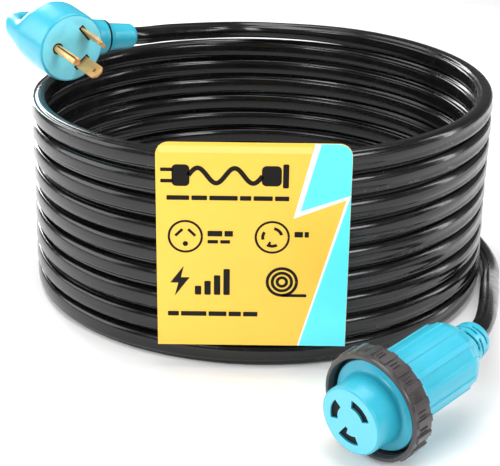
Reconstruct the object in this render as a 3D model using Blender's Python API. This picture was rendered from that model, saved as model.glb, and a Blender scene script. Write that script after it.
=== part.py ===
# Shore power cord: a coiled heavy cord with a moulded travel-trailer plug, a locking
# connector with a threaded ring, and a label card hooked over the coil's rim.
# Metres, +Z up, the coil lying on the floor with its axis upright.
import math

import bmesh
import bpy
from mathutils import Matrix, Vector

for old_object in list(bpy.data.objects):
    bpy.data.objects.remove(old_object, do_unlink=True)

# ---- driving sizes ----
touch_gap = 0.0003
slip_gap = 0.0006

coil_turns = 9
coil_radius = 0.184
turn_pitch = 0.0174
cord_width = 0.0135
cord_diameter = 0.0160
coil_center_x = 0.0053
coil_center_y = 0.0759
coil_start_azimuth = 80.0
lower_exit_turn = 0.93
ramp_turn = 0.42
step_turn = 0.0002

plug_face_radius = 0.029
plug_head_radius = 0.0300
plug_head_depth = 0.042
plug_shoulder_radius = 0.0225
plug_plate_radius = 0.0250
plug_plate_thickness = 0.0036
plug_carrier_radius = 0.0215
plug_carrier_thickness = 0.012
plug_wire_room = 0.016
plug_exit_depth = 0.0235
plug_boss_radius = 0.0150
plug_boss_reach = 0.0435
plug_relief_reach = 0.0731
plug_relief_radius = 0.0109
blade_length = 0.0285
blade_width = 0.0125
blade_thickness = 0.0020
blade_spacing = 0.0256
blade_slant = 45.0
pin_length = 0.0320
pin_radius = 0.0034
pin_offset = 0.0134
blade_offset = 0.0110
handle_width = 0.056
handle_depth = 0.031
handle_bar = 0.0105
handle_height = 0.021

nose_radius = 0.0240
nose_length = 0.0235
nose_wall = 0.0032
nose_front_wall = 0.014
flange_radius = 0.0325
flange_thickness = 0.0045
neck_radius = 0.0280
ring_outer_radius = 0.0395
ring_wall = 0.0040
ring_length = 0.0180
ring_back_wall = 0.0050
ring_front_offset = 0.0180
ring_grip_count = 30
lip_radius = 0.0335
lip_thickness = 0.0035
grip_radius = 0.0252
grip_length = 0.060
shoulder_length = 0.011
socket_relief_radius = 0.0142
socket_relief_length = 0.021
socket_relief_bend = 10.0
bore_radius = 0.0086
slot_circle_radius = 0.0138
slot_width = 0.0042
contact_thickness = 0.0012
wire_diameter = 0.0042

card_width = 0.1403
card_height = 0.1568
card_thickness = 0.0010
card_corner = 0.0095
card_over_rim = 0.0095
card_shift = -0.005
hook_width = 0.060
hook_drop = 0.030

smooth_angle = 32.0

# ---- where the plug and the connector lie, from the coil's own centre ----
plug_face_place = Vector((-0.1567, 0.0030, 0.1921))
plug_out = Vector((0.5686, -0.7660, -0.1273)).normalized()
plug_roll = -6.0
socket_face_place = Vector((0.0569, -0.3322, 0.0))
socket_out = Vector((-0.7052, -0.7013, -0.1044)).normalized()

coil_center = Vector((coil_center_x, coil_center_y, 0.0))
coil_bottom_turns = coil_turns * turn_pitch


# ---- materials ----
def make_material(name, color, roughness, metallic=0.0):
    material = bpy.data.materials.new(name)
    material.use_nodes = True
    shader = material.node_tree.nodes["Principled BSDF"]
    shader.inputs["Base Color"].default_value = (color[0], color[1], color[2], 1.0)
    shader.inputs["Roughness"].default_value = roughness
    shader.inputs["Metallic"].default_value = metallic
    material.diffuse_color = (color[0], color[1], color[2], 1.0)
    return material


cyan_plastic = (0.035, 0.47, 0.68)
pale_cyan = (0.16, 0.72, 0.88)
cord_black = (0.012, 0.012, 0.013)
ring_grey = (0.060, 0.052, 0.054)
brass_yellow = (0.62, 0.42, 0.16)
dark_block = (0.020, 0.022, 0.026)
card_yellow = (0.95, 0.68, 0.10)


# ---- shapes ----
def add_mesh(name, mesh_maker, color, roughness, metallic=0.0):
    mesh = bpy.data.meshes.new(name)
    work = bmesh.new()
    mesh_maker(work)
    bmesh.ops.recalc_face_normals(work, faces=work.faces)
    work.to_mesh(mesh)
    work.free()
    mesh.shade_smooth()
    mesh.set_sharp_from_angle(angle=math.radians(smooth_angle))
    made = bpy.data.objects.new(name, mesh)
    bpy.context.scene.collection.objects.link(made)
    made.data.materials.append(make_material(name + "_material", color, roughness, metallic))
    return made


def turn_profile(work, profile, segments, closed=True):
    # A turned solid: a closed outline away from the axis, or an open one that starts and ends on it.
    columns = []
    for radius, height in profile:
        if radius < 1e-9:
            columns.append([work.verts.new((0.0, 0.0, height))])
            continue
        column = []
        for index in range(segments):
            angle = 2.0 * math.pi * index / segments
            place = (radius * math.cos(angle), radius * math.sin(angle), height)
            column.append(work.verts.new(place))
        columns.append(column)
    pairs = list(zip(columns[:-1], columns[1:]))
    if closed:
        pairs.append((columns[-1], columns[0]))
    for first, second in pairs:
        for index in range(segments):
            after = (index + 1) % segments
            if len(first) == 1:
                work.faces.new((first[0], second[index], second[after]))
            elif len(second) == 1:
                work.faces.new((first[index], second[0], first[after]))
            else:
                work.faces.new((first[index], second[index], second[after], first[after]))


def extrude_outline(work, outline, bottom, top):
    low = [work.verts.new((x, y, bottom)) for x, y in outline]
    high = [work.verts.new((x, y, top)) for x, y in outline]
    work.faces.new(low[::-1])
    work.faces.new(high)
    for index in range(len(outline)):
        after = (index + 1) % len(outline)
        work.faces.new((low[index], low[after], high[after], high[index]))


def arc_points(center_x, center_y, radius, start, end, steps):
    points = []
    for index in range(steps + 1):
        angle = math.radians(start + (end - start) * index / steps)
        points.append((center_x + radius * math.cos(angle), center_y + radius * math.sin(angle)))
    return points


def arc_slot_outline(radius, width, start, end, steps):
    outer = arc_points(0.0, 0.0, radius + width / 2.0, start, end, steps)
    inner = arc_points(0.0, 0.0, radius - width / 2.0, end, start, steps)
    return outer + inner


def combine(target, tool, operation):
    tool.hide_render = True
    tool.display_type = "WIRE"
    tool.parent = target.parent
    modifier = target.modifiers.new(operation.lower() + "_" + tool.name, "BOOLEAN")
    modifier.operation = operation
    modifier.solver = "EXACT"
    modifier.object = tool


def sweep_rings(work, centers, tangents, radii, sides, inner_radii):
    # A tapered tube along a path, with an open bore where inner radii are given.
    def ring_at(center, tangent, radius):
        side = Vector((0.0, 1.0, 0.0))
        up = tangent.cross(side).normalized()
        ring = []
        for index in range(sides):
            angle = 2.0 * math.pi * index / sides
            offset = side * (radius * math.cos(angle)) + up * (radius * math.sin(angle))
            ring.append(work.verts.new(center + offset))
        return ring

    outer = [ring_at(c, t, r) for c, t, r in zip(centers, tangents, radii)]
    inner = [ring_at(c, t, r) for c, t, r in zip(centers, tangents, inner_radii)]
    loop = outer + inner[::-1]
    for index in range(len(loop)):
        first = loop[index]
        second = loop[(index + 1) % len(loop)]
        for corner in range(sides):
            after = (corner + 1) % sides
            work.faces.new((first[corner], second[corner], second[after], first[after]))


def smooth_route(points, spacing):
    # Points read at an even spacing from a smooth curve through the route's own points.
    dense = []
    count = len(points)
    for index in range(count - 1):
        before = points[index - 1] if index > 0 else points[0] * 2.0 - points[1]
        start = points[index]
        end = points[index + 1]
        beyond = points[index + 2] if index + 2 < count else points[-1] * 2.0 - points[-2]
        for step in range(24):
            t = step / 24.0
            dense.append(
                0.5
                * (
                    2.0 * start
                    + (end - before) * t
                    + (2.0 * before - 5.0 * start + 4.0 * end - beyond) * t * t
                    + (3.0 * start - before - 3.0 * end + beyond) * t * t * t
                )
            )
    dense.append(points[-1].copy())
    lengths = [0.0]
    for index in range(1, len(dense)):
        lengths.append(lengths[-1] + (dense[index] - dense[index - 1]).length)
    stops = max(2, round(lengths[-1] / spacing))
    route = []
    cursor = 0
    for stop in range(stops + 1):
        wanted = lengths[-1] * stop / stops
        while cursor < len(dense) - 2 and lengths[cursor + 1] < wanted:
            cursor += 1
        span = lengths[cursor + 1] - lengths[cursor]
        share = 0.0 if span < 1e-12 else (wanted - lengths[cursor]) / span
        route.append(dense[cursor].lerp(dense[cursor + 1], min(1.0, share)))
    return route


def add_tube(name, route, diameter, color, roughness, resolution):
    curve = bpy.data.curves.new(name, "CURVE")
    curve.dimensions = "3D"
    curve.bevel_depth = diameter / 2.0
    curve.bevel_resolution = resolution
    curve.use_fill_caps = True
    spline = curve.splines.new("POLY")
    spline.points.add(len(route) - 1)
    for point, place in zip(spline.points, route):
        point.co = (place.x, place.y, place.z, 1.0)
    made = bpy.data.objects.new(name, curve)
    bpy.context.scene.collection.objects.link(made)
    made.data.materials.append(make_material(name + "_material", color, roughness))
    return made


def add_frame(name, place, x_axis, y_axis, z_axis):
    frame = bpy.data.objects.new(name, None)
    bpy.context.scene.collection.objects.link(frame)
    rotation = Matrix((x_axis, y_axis, z_axis)).transposed().to_4x4()
    frame.matrix_world = Matrix.Translation(place) @ rotation
    return frame


# ---- the coil ----
def ramp_share(turn):
    # How far the lowest turn has come down to the floor.
    t = min(1.0, turn / ramp_turn)
    return t * t * (3.0 - 2.0 * t)


def coil_direction(turn):
    angle = math.radians(coil_start_azimuth - 360.0 * turn)
    return Vector((math.cos(angle), math.sin(angle), 0.0))


def coil_top(turn):
    return coil_bottom_turns + turn_pitch * (1.0 - turn)


def coil_bottom(turn):
    if turn > lower_exit_turn:
        return turn_pitch
    return turn_pitch * (1.0 - ramp_share(turn))


def make_coil(work):
    turns = [index / 144.0 for index in range(144)]
    turns += [lower_exit_turn, lower_exit_turn + step_turn, 1.0 - step_turn]
    turns = sorted(set(turns))
    chamfer = 0.003
    half = cord_width / 2.0
    rings = []
    for turn in turns:
        low = coil_bottom(turn)
        high = coil_top(turn)
        section = [
            (-half, low + chamfer),
            (-half + chamfer, low),
            (half - chamfer, low),
            (half, low + chamfer),
            (half, high - chamfer),
            (half - chamfer, high),
            (-half + chamfer, high),
            (-half, high - chamfer),
        ]
        direction = coil_direction(turn)
        corners = [direction * (coil_radius + r) + Vector((0.0, 0.0, z)) for r, z in section]
        rings.append([work.verts.new(corner) for corner in corners])
    for index in range(len(rings)):
        first = rings[index]
        second = rings[(index + 1) % len(rings)]
        for corner in range(8):
            after = (corner + 1) % 8
            work.faces.new((first[corner], second[corner], second[after], first[after]))


cord_coil = add_mesh("cord_coil", make_coil, cord_black, 0.35)
cord_coil.location = coil_center

# ---- the plug: X to the cord's exit, Y up, Z out of the face ----
plug_level = Vector((-plug_out.y, plug_out.x, 0.0)).normalized()
plug_side = Matrix.Rotation(math.radians(plug_roll), 3, plug_out) @ plug_level
plug_up = plug_out.cross(plug_side)
plug_frame = add_frame("plug_frame", coil_center + plug_face_place, plug_side, plug_up, plug_out)

plate_pocket_floor = -(plug_plate_thickness + touch_gap)
carrier_floor = plate_pocket_floor - plug_carrier_thickness - touch_gap
room_floor = carrier_floor - plug_wire_room


def make_plug_body(work):
    profile = [
        (plug_plate_radius + touch_gap, plate_pocket_floor),
        (plug_plate_radius + touch_gap, 0.0),
        (plug_face_radius - 0.0012, 0.0),
        (plug_face_radius, -0.0010),
        (plug_head_radius, -0.0050),
        (plug_head_radius, -plug_head_depth * 0.62),
        (plug_head_radius - 0.0012, -plug_head_depth * 0.74),
        (plug_head_radius - 0.0040, -plug_head_depth * 0.88),
        (plug_shoulder_radius + 0.0015, -plug_head_depth * 0.975),
        (plug_shoulder_radius, -plug_head_depth),
        (0.0, -plug_head_depth),
        (0.0, room_floor),
        (plug_carrier_radius + touch_gap, room_floor),
        (plug_carrier_radius + touch_gap, plate_pocket_floor),
    ]
    inner_axis_start = profile[10]
    inner_axis_end = profile[11]
    outside = profile[:10] + [inner_axis_start]
    inside = [inner_axis_end] + profile[12:]
    turn_profile(work, inside + outside, 72, closed=False)


plug_body = add_mesh("plug_body", make_plug_body, cyan_plastic, 0.35)
plug_body.parent = plug_frame


def add_cylinder_along_x(name, radius, start, end, height, segments=40):
    def make(work):
        low = []
        high = []
        for index in range(segments):
            angle = 2.0 * math.pi * index / segments
            y = radius * math.cos(angle)
            z = height + radius * math.sin(angle)
            low.append(work.verts.new((start, y, z)))
            high.append(work.verts.new((end, y, z)))
        work.faces.new(low)
        work.faces.new(high[::-1])
        for index in range(segments):
            after = (index + 1) % segments
            work.faces.new((low[index], low[after], high[after], high[index]))

    return add_mesh(name, make, cyan_plastic, 0.35)


plug_boss = add_cylinder_along_x(
    "plug_boss_guide", plug_boss_radius, plug_carrier_radius + 0.002, plug_boss_reach, -plug_exit_depth
)
plug_boss.parent = plug_frame
combine(plug_body, plug_boss, "UNION")
plug_bore = add_cylinder_along_x(
    "plug_bore_cutter",
    bore_radius,
    plug_carrier_radius - 0.004,
    plug_boss_reach + 0.01,
    -plug_exit_depth,
)
plug_bore.parent = plug_frame
combine(plug_body, plug_bore, "DIFFERENCE")


def add_disc(name, radius, bottom, top, color, roughness):
    def make(work):
        profile = [(0.0, bottom), (radius, bottom), (radius, top), (0.0, top)]
        turn_profile(work, profile, 64, closed=False)

    return add_mesh(name, make, color, roughness)


plug_face_plate = add_disc(
    "plug_face_plate", plug_plate_radius, -plug_plate_thickness, 0.0, pale_cyan, 0.4
)
plug_face_plate.parent = plug_frame
plug_carrier = add_disc(
    "plug_blade_carrier",
    plug_carrier_radius,
    carrier_floor + touch_gap,
    plate_pocket_floor - touch_gap,
    dark_block,
    0.5,
)
plug_carrier.parent = plug_frame

pin_back = carrier_floor - 0.0006
wire_gap = 2.0 * slip_gap


def blade_outline(width, thickness):
    return [
        (-width / 2.0, -thickness / 2.0),
        (width / 2.0, -thickness / 2.0),
        (width / 2.0, thickness / 2.0),
        (-width / 2.0, thickness / 2.0),
    ]


def make_blade(work):
    chamfer = 0.0035
    half = blade_width / 2.0
    outline = [
        (-half, pin_back),
        (half, pin_back),
        (half, blade_length - chamfer),
        (half - chamfer, blade_length),
        (-half + chamfer, blade_length),
        (-half, blade_length - chamfer),
    ]
    front = [work.verts.new((x, -blade_thickness / 2.0, z)) for x, z in outline]
    back = [work.verts.new((x, blade_thickness / 2.0, z)) for x, z in outline]
    work.faces.new(front)
    work.faces.new(back[::-1])
    for index in range(len(outline)):
        after = (index + 1) % len(outline)
        work.faces.new((front[index], front[after], back[after], back[index]))


def make_blade_hole(work):
    low = []
    high = []
    for index in range(16):
        angle = 2.0 * math.pi * index / 16
        x = 0.0018 * math.cos(angle)
        z = blade_length * 0.72 + 0.0018 * math.sin(angle)
        low.append(work.verts.new((x, -0.005, z)))
        high.append(work.verts.new((x, 0.005, z)))
    work.faces.new(low)
    work.faces.new(high[::-1])
    for index in range(16):
        after = (index + 1) % 16
        work.faces.new((low[index], low[after], high[after], high[index]))


def make_blade_slot(work):
    outline = blade_outline(blade_width + 2 * slip_gap, blade_thickness + 2 * slip_gap)
    extrude_outline(work, outline, pin_back - 0.001, 0.01)


def place_blade(piece, side):
    piece.parent = plug_frame
    piece.location = (blade_offset, side * blade_spacing / 2.0, 0.0)
    piece.rotation_euler = (0.0, 0.0, math.radians(side * blade_slant + 90.0))


for blade_name, side in (("line_blade", 1.0), ("neutral_blade", -1.0)):
    blade = add_mesh(blade_name, make_blade, brass_yellow, 0.25, 1.0)
    place_blade(blade, side)
    hole = add_mesh(blade_name + "_hole_cutter", make_blade_hole, brass_yellow, 0.3)
    place_blade(hole, side)
    combine(blade, hole, "DIFFERENCE")
    slot = add_mesh(blade_name + "_slot_cutter", make_blade_slot, brass_yellow, 0.3)
    place_blade(slot, side)
    combine(plug_face_plate, slot, "DIFFERENCE")
    combine(plug_carrier, slot, "DIFFERENCE")


def make_ground_pin(work):
    # A folded brass tube with a rounded nose and a slit that opens away from the blades.
    profile = [(0.0, pin_back), (pin_radius, pin_back), (pin_radius, pin_length - pin_radius)]
    for step in range(1, 6):
        angle = math.radians(90.0 * step / 6)
        height = pin_length - pin_radius + pin_radius * math.sin(angle)
        profile.append((pin_radius * math.cos(angle), height))
    profile.append((0.0, pin_length))
    turn_profile(work, profile, 32, closed=False)


def make_pin_slit(work):
    extrude_outline(work, blade_outline(0.0012, 0.006), 0.002, pin_length + 0.002)


def make_pin_hole(work):
    outline = arc_points(0.0, 0.0, pin_radius + slip_gap, 0.0, 360.0 - 360.0 / 32, 31)
    extrude_outline(work, outline, pin_back - 0.001, 0.01)


ground_pin = add_mesh("ground_pin", make_ground_pin, brass_yellow, 0.25, 1.0)
ground_pin.parent = plug_frame
ground_pin.location = (-pin_offset, 0.0, 0.0)
pin_slit = add_mesh("ground_pin_slit_cutter", make_pin_slit, brass_yellow, 0.3)
pin_slit.parent = plug_frame
pin_slit.location = (-pin_offset, 0.003 + pin_radius * 0.25, 0.0)
combine(ground_pin, pin_slit, "DIFFERENCE")
pin_hole = add_mesh("ground_pin_hole_cutter", make_pin_hole, brass_yellow, 0.3)
pin_hole.parent = plug_frame
pin_hole.location = (-pin_offset, 0.0, 0.0)
combine(plug_face_plate, pin_hole, "DIFFERENCE")
combine(plug_carrier, pin_hole, "DIFFERENCE")


def make_plug_relief(work):
    start = plug_boss_reach + touch_gap
    end = plug_relief_reach
    shares = [0.0, 0.06, 0.12, 0.4, 0.7, 0.92, 1.0]
    widths = [0.0015, 0.0017, 0.0004, 0.0002, -0.0004, -0.0010, -0.0020]
    centers = [Vector((start + (end - start) * share, 0.0, -plug_exit_depth)) for share in shares]
    tangents = [Vector((1.0, 0.0, 0.0))] * len(shares)
    radii = [plug_relief_radius + extra for extra in widths]
    sweep_rings(work, centers, tangents, radii, 40, [bore_radius] * len(shares))


plug_relief = add_mesh("plug_strain_relief", make_plug_relief, cyan_plastic, 0.35)
plug_relief.parent = plug_frame

wire_names = (("line", 1.0), ("neutral", -1.0), ("ground", 0.0))
wire_spread = wire_diameter * 0.62
wire_clear = 0.0008
for wire_name, side in wire_names:
    if side:
        begin = Vector((blade_offset, side * blade_spacing / 2.0, pin_back - wire_gap))
        lane_y = side * wire_spread
        lane_z = -plug_exit_depth + wire_spread * 0.6
    else:
        begin = Vector((-pin_offset, 0.0, pin_back - wire_gap))
        lane_y = 0.0
        lane_z = -plug_exit_depth - wire_spread * 1.15
    points = [
        begin,
        Vector((begin.x, begin.y, begin.z - 0.0025)),
        Vector((begin.x * 0.55 + 0.006, begin.y * 0.72, lane_z - 0.0005)),
        Vector((plug_carrier_radius - 0.001, lane_y, lane_z)),
        Vector((plug_boss_reach, lane_y, lane_z)),
        Vector((plug_relief_reach - 0.002, lane_y, lane_z)),
    ]
    route = smooth_route(points, 0.003)
    wire = add_tube("plug_wire_" + wire_name, route, wire_diameter, dark_block, 0.4, 2)
    wire.parent = plug_frame


def make_handle(work):
    # A closed loop with a finger opening, its flat base against the back of the plug's head.
    start = -(plug_head_depth + touch_gap)
    end = start - handle_depth
    half = handle_width / 2.0
    corner = handle_bar * 1.25
    outer = [(half - 0.004, start), (-half + 0.004, start)]
    outer += [(-half, start - 0.006)]
    outer += arc_points(-half + corner, end + corner, corner, 180.0, 270.0, 6)
    outer += arc_points(half - corner, end + corner, corner, 270.0, 360.0, 6)
    outer += [(half, start - 0.006)]
    low = [work.verts.new((x, -handle_height / 2.0, z)) for x, z in outer]
    high = [work.verts.new((x, handle_height / 2.0, z)) for x, z in outer]
    work.faces.new(low)
    work.faces.new(high[::-1])
    for index in range(len(outer)):
        after = (index + 1) % len(outer)
        work.faces.new((low[index], low[after], high[after], high[index]))


def make_handle_opening(work):
    start = -(plug_head_depth + touch_gap) - 0.0040
    end = -(plug_head_depth + touch_gap) - handle_depth + handle_bar
    half = handle_width / 2.0 - handle_bar
    corner = 0.005
    hole = arc_points(half - corner, start - corner, corner, 90.0, 0.0, 4)
    hole += arc_points(half - corner, end + corner, corner, 0.0, -90.0, 4)
    hole += arc_points(-half + corner, end + corner, corner, -90.0, -180.0, 4)
    hole += arc_points(-half + corner, start - corner, corner, -180.0, -270.0, 4)
    reach = handle_height
    low = [work.verts.new((x, -reach, z)) for x, z in hole]
    high = [work.verts.new((x, reach, z)) for x, z in hole]
    work.faces.new(low)
    work.faces.new(high[::-1])
    for index in range(len(hole)):
        after = (index + 1) % len(hole)
        work.faces.new((low[index], low[after], high[after], high[index]))


plug_handle = add_mesh("plug_handle", make_handle, cyan_plastic, 0.35)
plug_handle.parent = plug_frame
handle_opening = add_mesh("plug_handle_opening_cutter", make_handle_opening, cyan_plastic, 0.35)
handle_opening.parent = plug_frame
combine(plug_handle, handle_opening, "DIFFERENCE")

# ---- the connector: Z out of its face, Y up ----
socket_side = Vector((-socket_out.y, socket_out.x, 0.0)).normalized()
socket_up = socket_out.cross(socket_side)
ring_back_offset = ring_front_offset + ring_length
tilt_share = math.hypot(socket_out.x, socket_out.y)
ring_drop = ring_front_offset * socket_out.z
socket_height = ring_outer_radius * tilt_share + touch_gap + ring_drop
socket_place = coil_center + socket_face_place + Vector((0.0, 0.0, socket_height))
socket_frame = add_frame("connector_frame", socket_place, socket_side, socket_up, socket_out)

flange_back = nose_length + flange_thickness
ring_lip_front = ring_back_offset - ring_back_wall
neck_back = ring_back_offset + slip_gap
pocket_radius = nose_radius - nose_wall
lip_back = neck_back + lip_thickness
grip_back = lip_back + grip_length
relief_start = grip_back + shoulder_length


def make_nose(work):
    profile = [
        (0.0, 0.0),
        (nose_radius - 0.0014, 0.0),
        (nose_radius - 0.0003, -0.0005),
        (nose_radius, -0.0016),
        (nose_radius, -nose_length + 0.0040),
        (nose_radius + 0.0012, -nose_length + 0.0012),
        (nose_radius + 0.0040, -nose_length),
        (flange_radius - 0.0008, -nose_length),
        (flange_radius, -nose_length - 0.0008),
        (flange_radius, -flange_back + 0.0006),
        (flange_radius - 0.0006, -flange_back),
        (neck_radius, -flange_back),
        (neck_radius, -neck_back + touch_gap),
        (pocket_radius, -neck_back + touch_gap),
        (pocket_radius, -nose_front_wall),
        (0.0, -nose_front_wall),
    ]
    turn_profile(work, profile, 72, closed=False)


connector_nose = add_mesh("connector_nose", make_nose, cyan_plastic, 0.4)
connector_nose.parent = socket_frame

carrier_front = nose_front_wall + touch_gap
carrier_back = carrier_front + 0.012
contact_carrier = add_disc(
    "contact_carrier", pocket_radius - touch_gap, -carrier_back, -carrier_front, dark_block, 0.5
)
contact_carrier.parent = socket_frame

# Three curved slots: start angle, end angle, and the hook on the ground slot's inner side.
slot_plan = (
    ("line", 2.0, 58.0, False),
    ("neutral", 140.0, 186.0, False),
    ("ground", 252.0, 304.0, True),
)
contact_mid = []
for slot_name, slot_start, slot_end, hooked in slot_plan:

    def make_slot(work):
        outline = arc_slot_outline(slot_circle_radius, slot_width, slot_start, slot_end, 8)
        extrude_outline(work, outline, -carrier_back - 0.002, 0.002)

    cutter = add_mesh(slot_name + "_slot_cutter", make_slot, dark_block, 0.5)
    cutter.parent = socket_frame
    combine(connector_nose, cutter, "DIFFERENCE")
    combine(contact_carrier, cutter, "DIFFERENCE")
    if hooked:

        def make_hook(work):
            radius = slot_circle_radius - slot_width * 0.9
            outline = arc_slot_outline(radius, slot_width, slot_start, slot_start + 17.0, 4)
            extrude_outline(work, outline, -nose_front_wall * 0.5, 0.002)

        hook_cutter = add_mesh(slot_name + "_hook_cutter", make_hook, dark_block, 0.5)
        hook_cutter.parent = socket_frame
        combine(connector_nose, hook_cutter, "DIFFERENCE")

    def make_contact(work):
        start = slot_start + 6.0
        outline = arc_slot_outline(slot_circle_radius, contact_thickness, start, slot_end - 6.0, 8)
        extrude_outline(work, outline, -carrier_back - 0.003, -0.006)

    contact = add_mesh(slot_name + "_contact", make_contact, brass_yellow, 0.25, 1.0)
    contact.parent = socket_frame
    contact_mid.append((slot_name, math.radians((slot_start + slot_end) / 2.0)))


def make_ring(work):
    # The threaded collar: a thin wall, a back wall that catches behind the flange, low grip bars.
    inner = ring_outer_radius - ring_wall
    lip = neck_radius + slip_gap
    profile = [
        (inner, -ring_front_offset),
        (ring_outer_radius - 0.0012, -ring_front_offset),
        (ring_outer_radius - 0.0004, -ring_front_offset - 0.0008),
        (ring_outer_radius - 0.0004, -ring_back_offset + 0.0030),
        (ring_outer_radius - 0.0022, -ring_back_offset),
        (lip, -ring_back_offset),
        (lip, -ring_lip_front),
        (inner, -ring_lip_front),
    ]
    turn_profile(work, profile, 120, closed=True)
    for vertex in work.verts:
        radius = math.hypot(vertex.co.x, vertex.co.y)
        if radius > ring_outer_radius - 0.0005:
            angle = math.atan2(vertex.co.y, vertex.co.x) % (2.0 * math.pi / ring_grip_count)
            if angle < math.pi / ring_grip_count - 1e-6:
                vertex.co.x *= ring_outer_radius / radius
                vertex.co.y *= ring_outer_radius / radius


locking_ring = add_mesh("locking_ring", make_ring, ring_grey, 0.4)
locking_ring.parent = socket_frame


def make_seal(work):
    inner = neck_radius + touch_gap
    outer = neck_radius + 0.0036
    back = -ring_lip_front + touch_gap
    front = -flange_back - touch_gap
    profile = [(inner, back), (outer, back), (outer, front), (inner, front)]
    turn_profile(work, profile, 64, closed=True)


ring_seal = add_mesh("ring_seal", make_seal, dark_block, 0.7)
ring_seal.parent = socket_frame


def make_socket_body(work):
    start = -neck_back
    profile = [
        (pocket_radius - 0.0006, start),
        (lip_radius - 0.0008, start),
        (lip_radius, start - 0.0008),
        (lip_radius, -lip_back + 0.0008),
        (lip_radius - 0.0008, -lip_back),
        (grip_radius + 0.0010, -lip_back),
        (grip_radius, -lip_back - 0.0010),
        (grip_radius, -grip_back),
        (grip_radius - 0.0012, -grip_back - shoulder_length * 0.38),
        (grip_radius - 0.0042, -grip_back - shoulder_length * 0.72),
        (socket_relief_radius + 0.0030, -relief_start + 0.0006),
        (socket_relief_radius + 0.0010, -relief_start),
        (bore_radius, -relief_start),
        (bore_radius, -grip_back),
        (pocket_radius - 0.0006, -grip_back + 0.010),
    ]
    turn_profile(work, profile, 96, closed=True)


connector_body = add_mesh("connector_body", make_socket_body, cyan_plastic, 0.35)
connector_body.parent = socket_frame


def relief_path(distance):
    # The boot bends towards the cord as it leaves the body: place and direction at a distance.
    bend = math.radians(socket_relief_bend)
    bend_radius = socket_relief_length / bend
    angle = distance / bend_radius
    side_shift = bend_radius * (1.0 - math.cos(angle))
    place = Vector((-side_shift, 0.0, -relief_start - touch_gap - bend_radius * math.sin(angle)))
    direction = Vector((-math.sin(angle), 0.0, -math.cos(angle)))
    return place, direction


def make_socket_relief(work):
    shares = [0.0, 0.08, 0.25, 0.5, 0.75, 0.93, 1.0]
    widths = [-0.0012, 0.0, 0.0, -0.0004, -0.0009, -0.0014, -0.0024]
    places = [relief_path(socket_relief_length * share) for share in shares]
    centers = [place for place, direction in places]
    tangents = [direction for place, direction in places]
    radii = [socket_relief_radius + extra for extra in widths]
    sweep_rings(work, centers, tangents, radii, 40, [bore_radius] * len(shares))


connector_relief = add_mesh("connector_strain_relief", make_socket_relief, cyan_plastic, 0.35)
connector_relief.parent = socket_frame

for wire_name, middle in contact_mid:
    start_x = slot_circle_radius * math.cos(middle)
    start_y = slot_circle_radius * math.sin(middle)
    contact_end = -(carrier_back + 0.003 + wire_gap)
    lane_angle = {"line": 30.0, "neutral": 160.0, "ground": 280.0}[wire_name]
    lane_reach = wire_spread * 1.25
    lane_x = lane_reach * math.cos(math.radians(lane_angle))
    lane_y = lane_reach * math.sin(math.radians(lane_angle))
    points = [
        Vector((start_x, start_y, contact_end)),
        Vector((start_x, start_y, contact_end - 0.006)),
        Vector(((start_x + lane_x) / 2.0, (start_y + lane_y) / 2.0, (contact_end - grip_back) / 2.0)),
        Vector((lane_x, lane_y, -grip_back + 0.004)),
        Vector((lane_x, lane_y, -relief_start + 0.002)),
    ]
    for share in (0.25, 0.6, 0.95):
        place, direction = relief_path(socket_relief_length * share)
        sideways = Vector((-direction.z, 0.0, direction.x))
        points.append(place + sideways * lane_x + Vector((0.0, lane_y, 0.0)))
    route = smooth_route(points, 0.006)
    wire = add_tube("connector_wire_" + wire_name, route, wire_diameter, dark_block, 0.4, 2)
    wire.parent = socket_frame

# ---- the cord's two free ends ----
plug_matrix = Matrix((plug_side, plug_up, plug_out)).transposed()
plug_exit_inside = Vector((plug_relief_reach + touch_gap, 0.0, -plug_exit_depth))
plug_exit = coil_center + plug_face_place + plug_matrix @ plug_exit_inside
upper_lane = coil_bottom_turns + turn_pitch / 2.0
coil_start = coil_direction(0.0) * coil_radius + coil_center
coil_start.z = upper_lane
start_tangent = Vector((coil_direction(0.0).y, -coil_direction(0.0).x, 0.0))
step_length = step_turn * 2.0 * math.pi * coil_radius
coil_start -= start_tangent * (step_length + 2.0 * touch_gap)
upper_points = [
    plug_exit,
    plug_exit + plug_side * 0.014,
    coil_center + Vector((-0.0900, 0.1045, upper_lane + 0.0158)),
    coil_center + Vector((-0.0680, 0.1315, upper_lane + 0.0110)),
    coil_center + Vector((-0.0473, 0.1551, upper_lane + 0.0066)),
    coil_center + Vector((-0.0262, 0.1712, upper_lane + 0.0036)),
    coil_center + Vector((0.0007, 0.1808, upper_lane + 0.0014)),
    coil_start - start_tangent * 0.010 - coil_direction(0.0) * 0.0004 + Vector((0.0, 0.0, 0.0001)),
    coil_start,
]
upper_route = smooth_route(upper_points, 0.012)
cord_tail_plug = add_tube("cord_tail_plug", upper_route, cord_diameter, cord_black, 0.35, 3)

socket_matrix = Matrix((socket_side, socket_up, socket_out)).transposed()
relief_end, relief_direction = relief_path(socket_relief_length)
socket_exit = socket_place + socket_matrix @ (relief_end + relief_direction * touch_gap)
exit_direction = socket_matrix @ relief_direction
floor_lane = cord_diameter / 2.0 + touch_gap


def floor_point(azimuth, radius, height=0.0):
    angle = math.radians(azimuth)
    place = Vector((radius * math.cos(angle), radius * math.sin(angle), floor_lane + height))
    return coil_center + place


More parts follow.
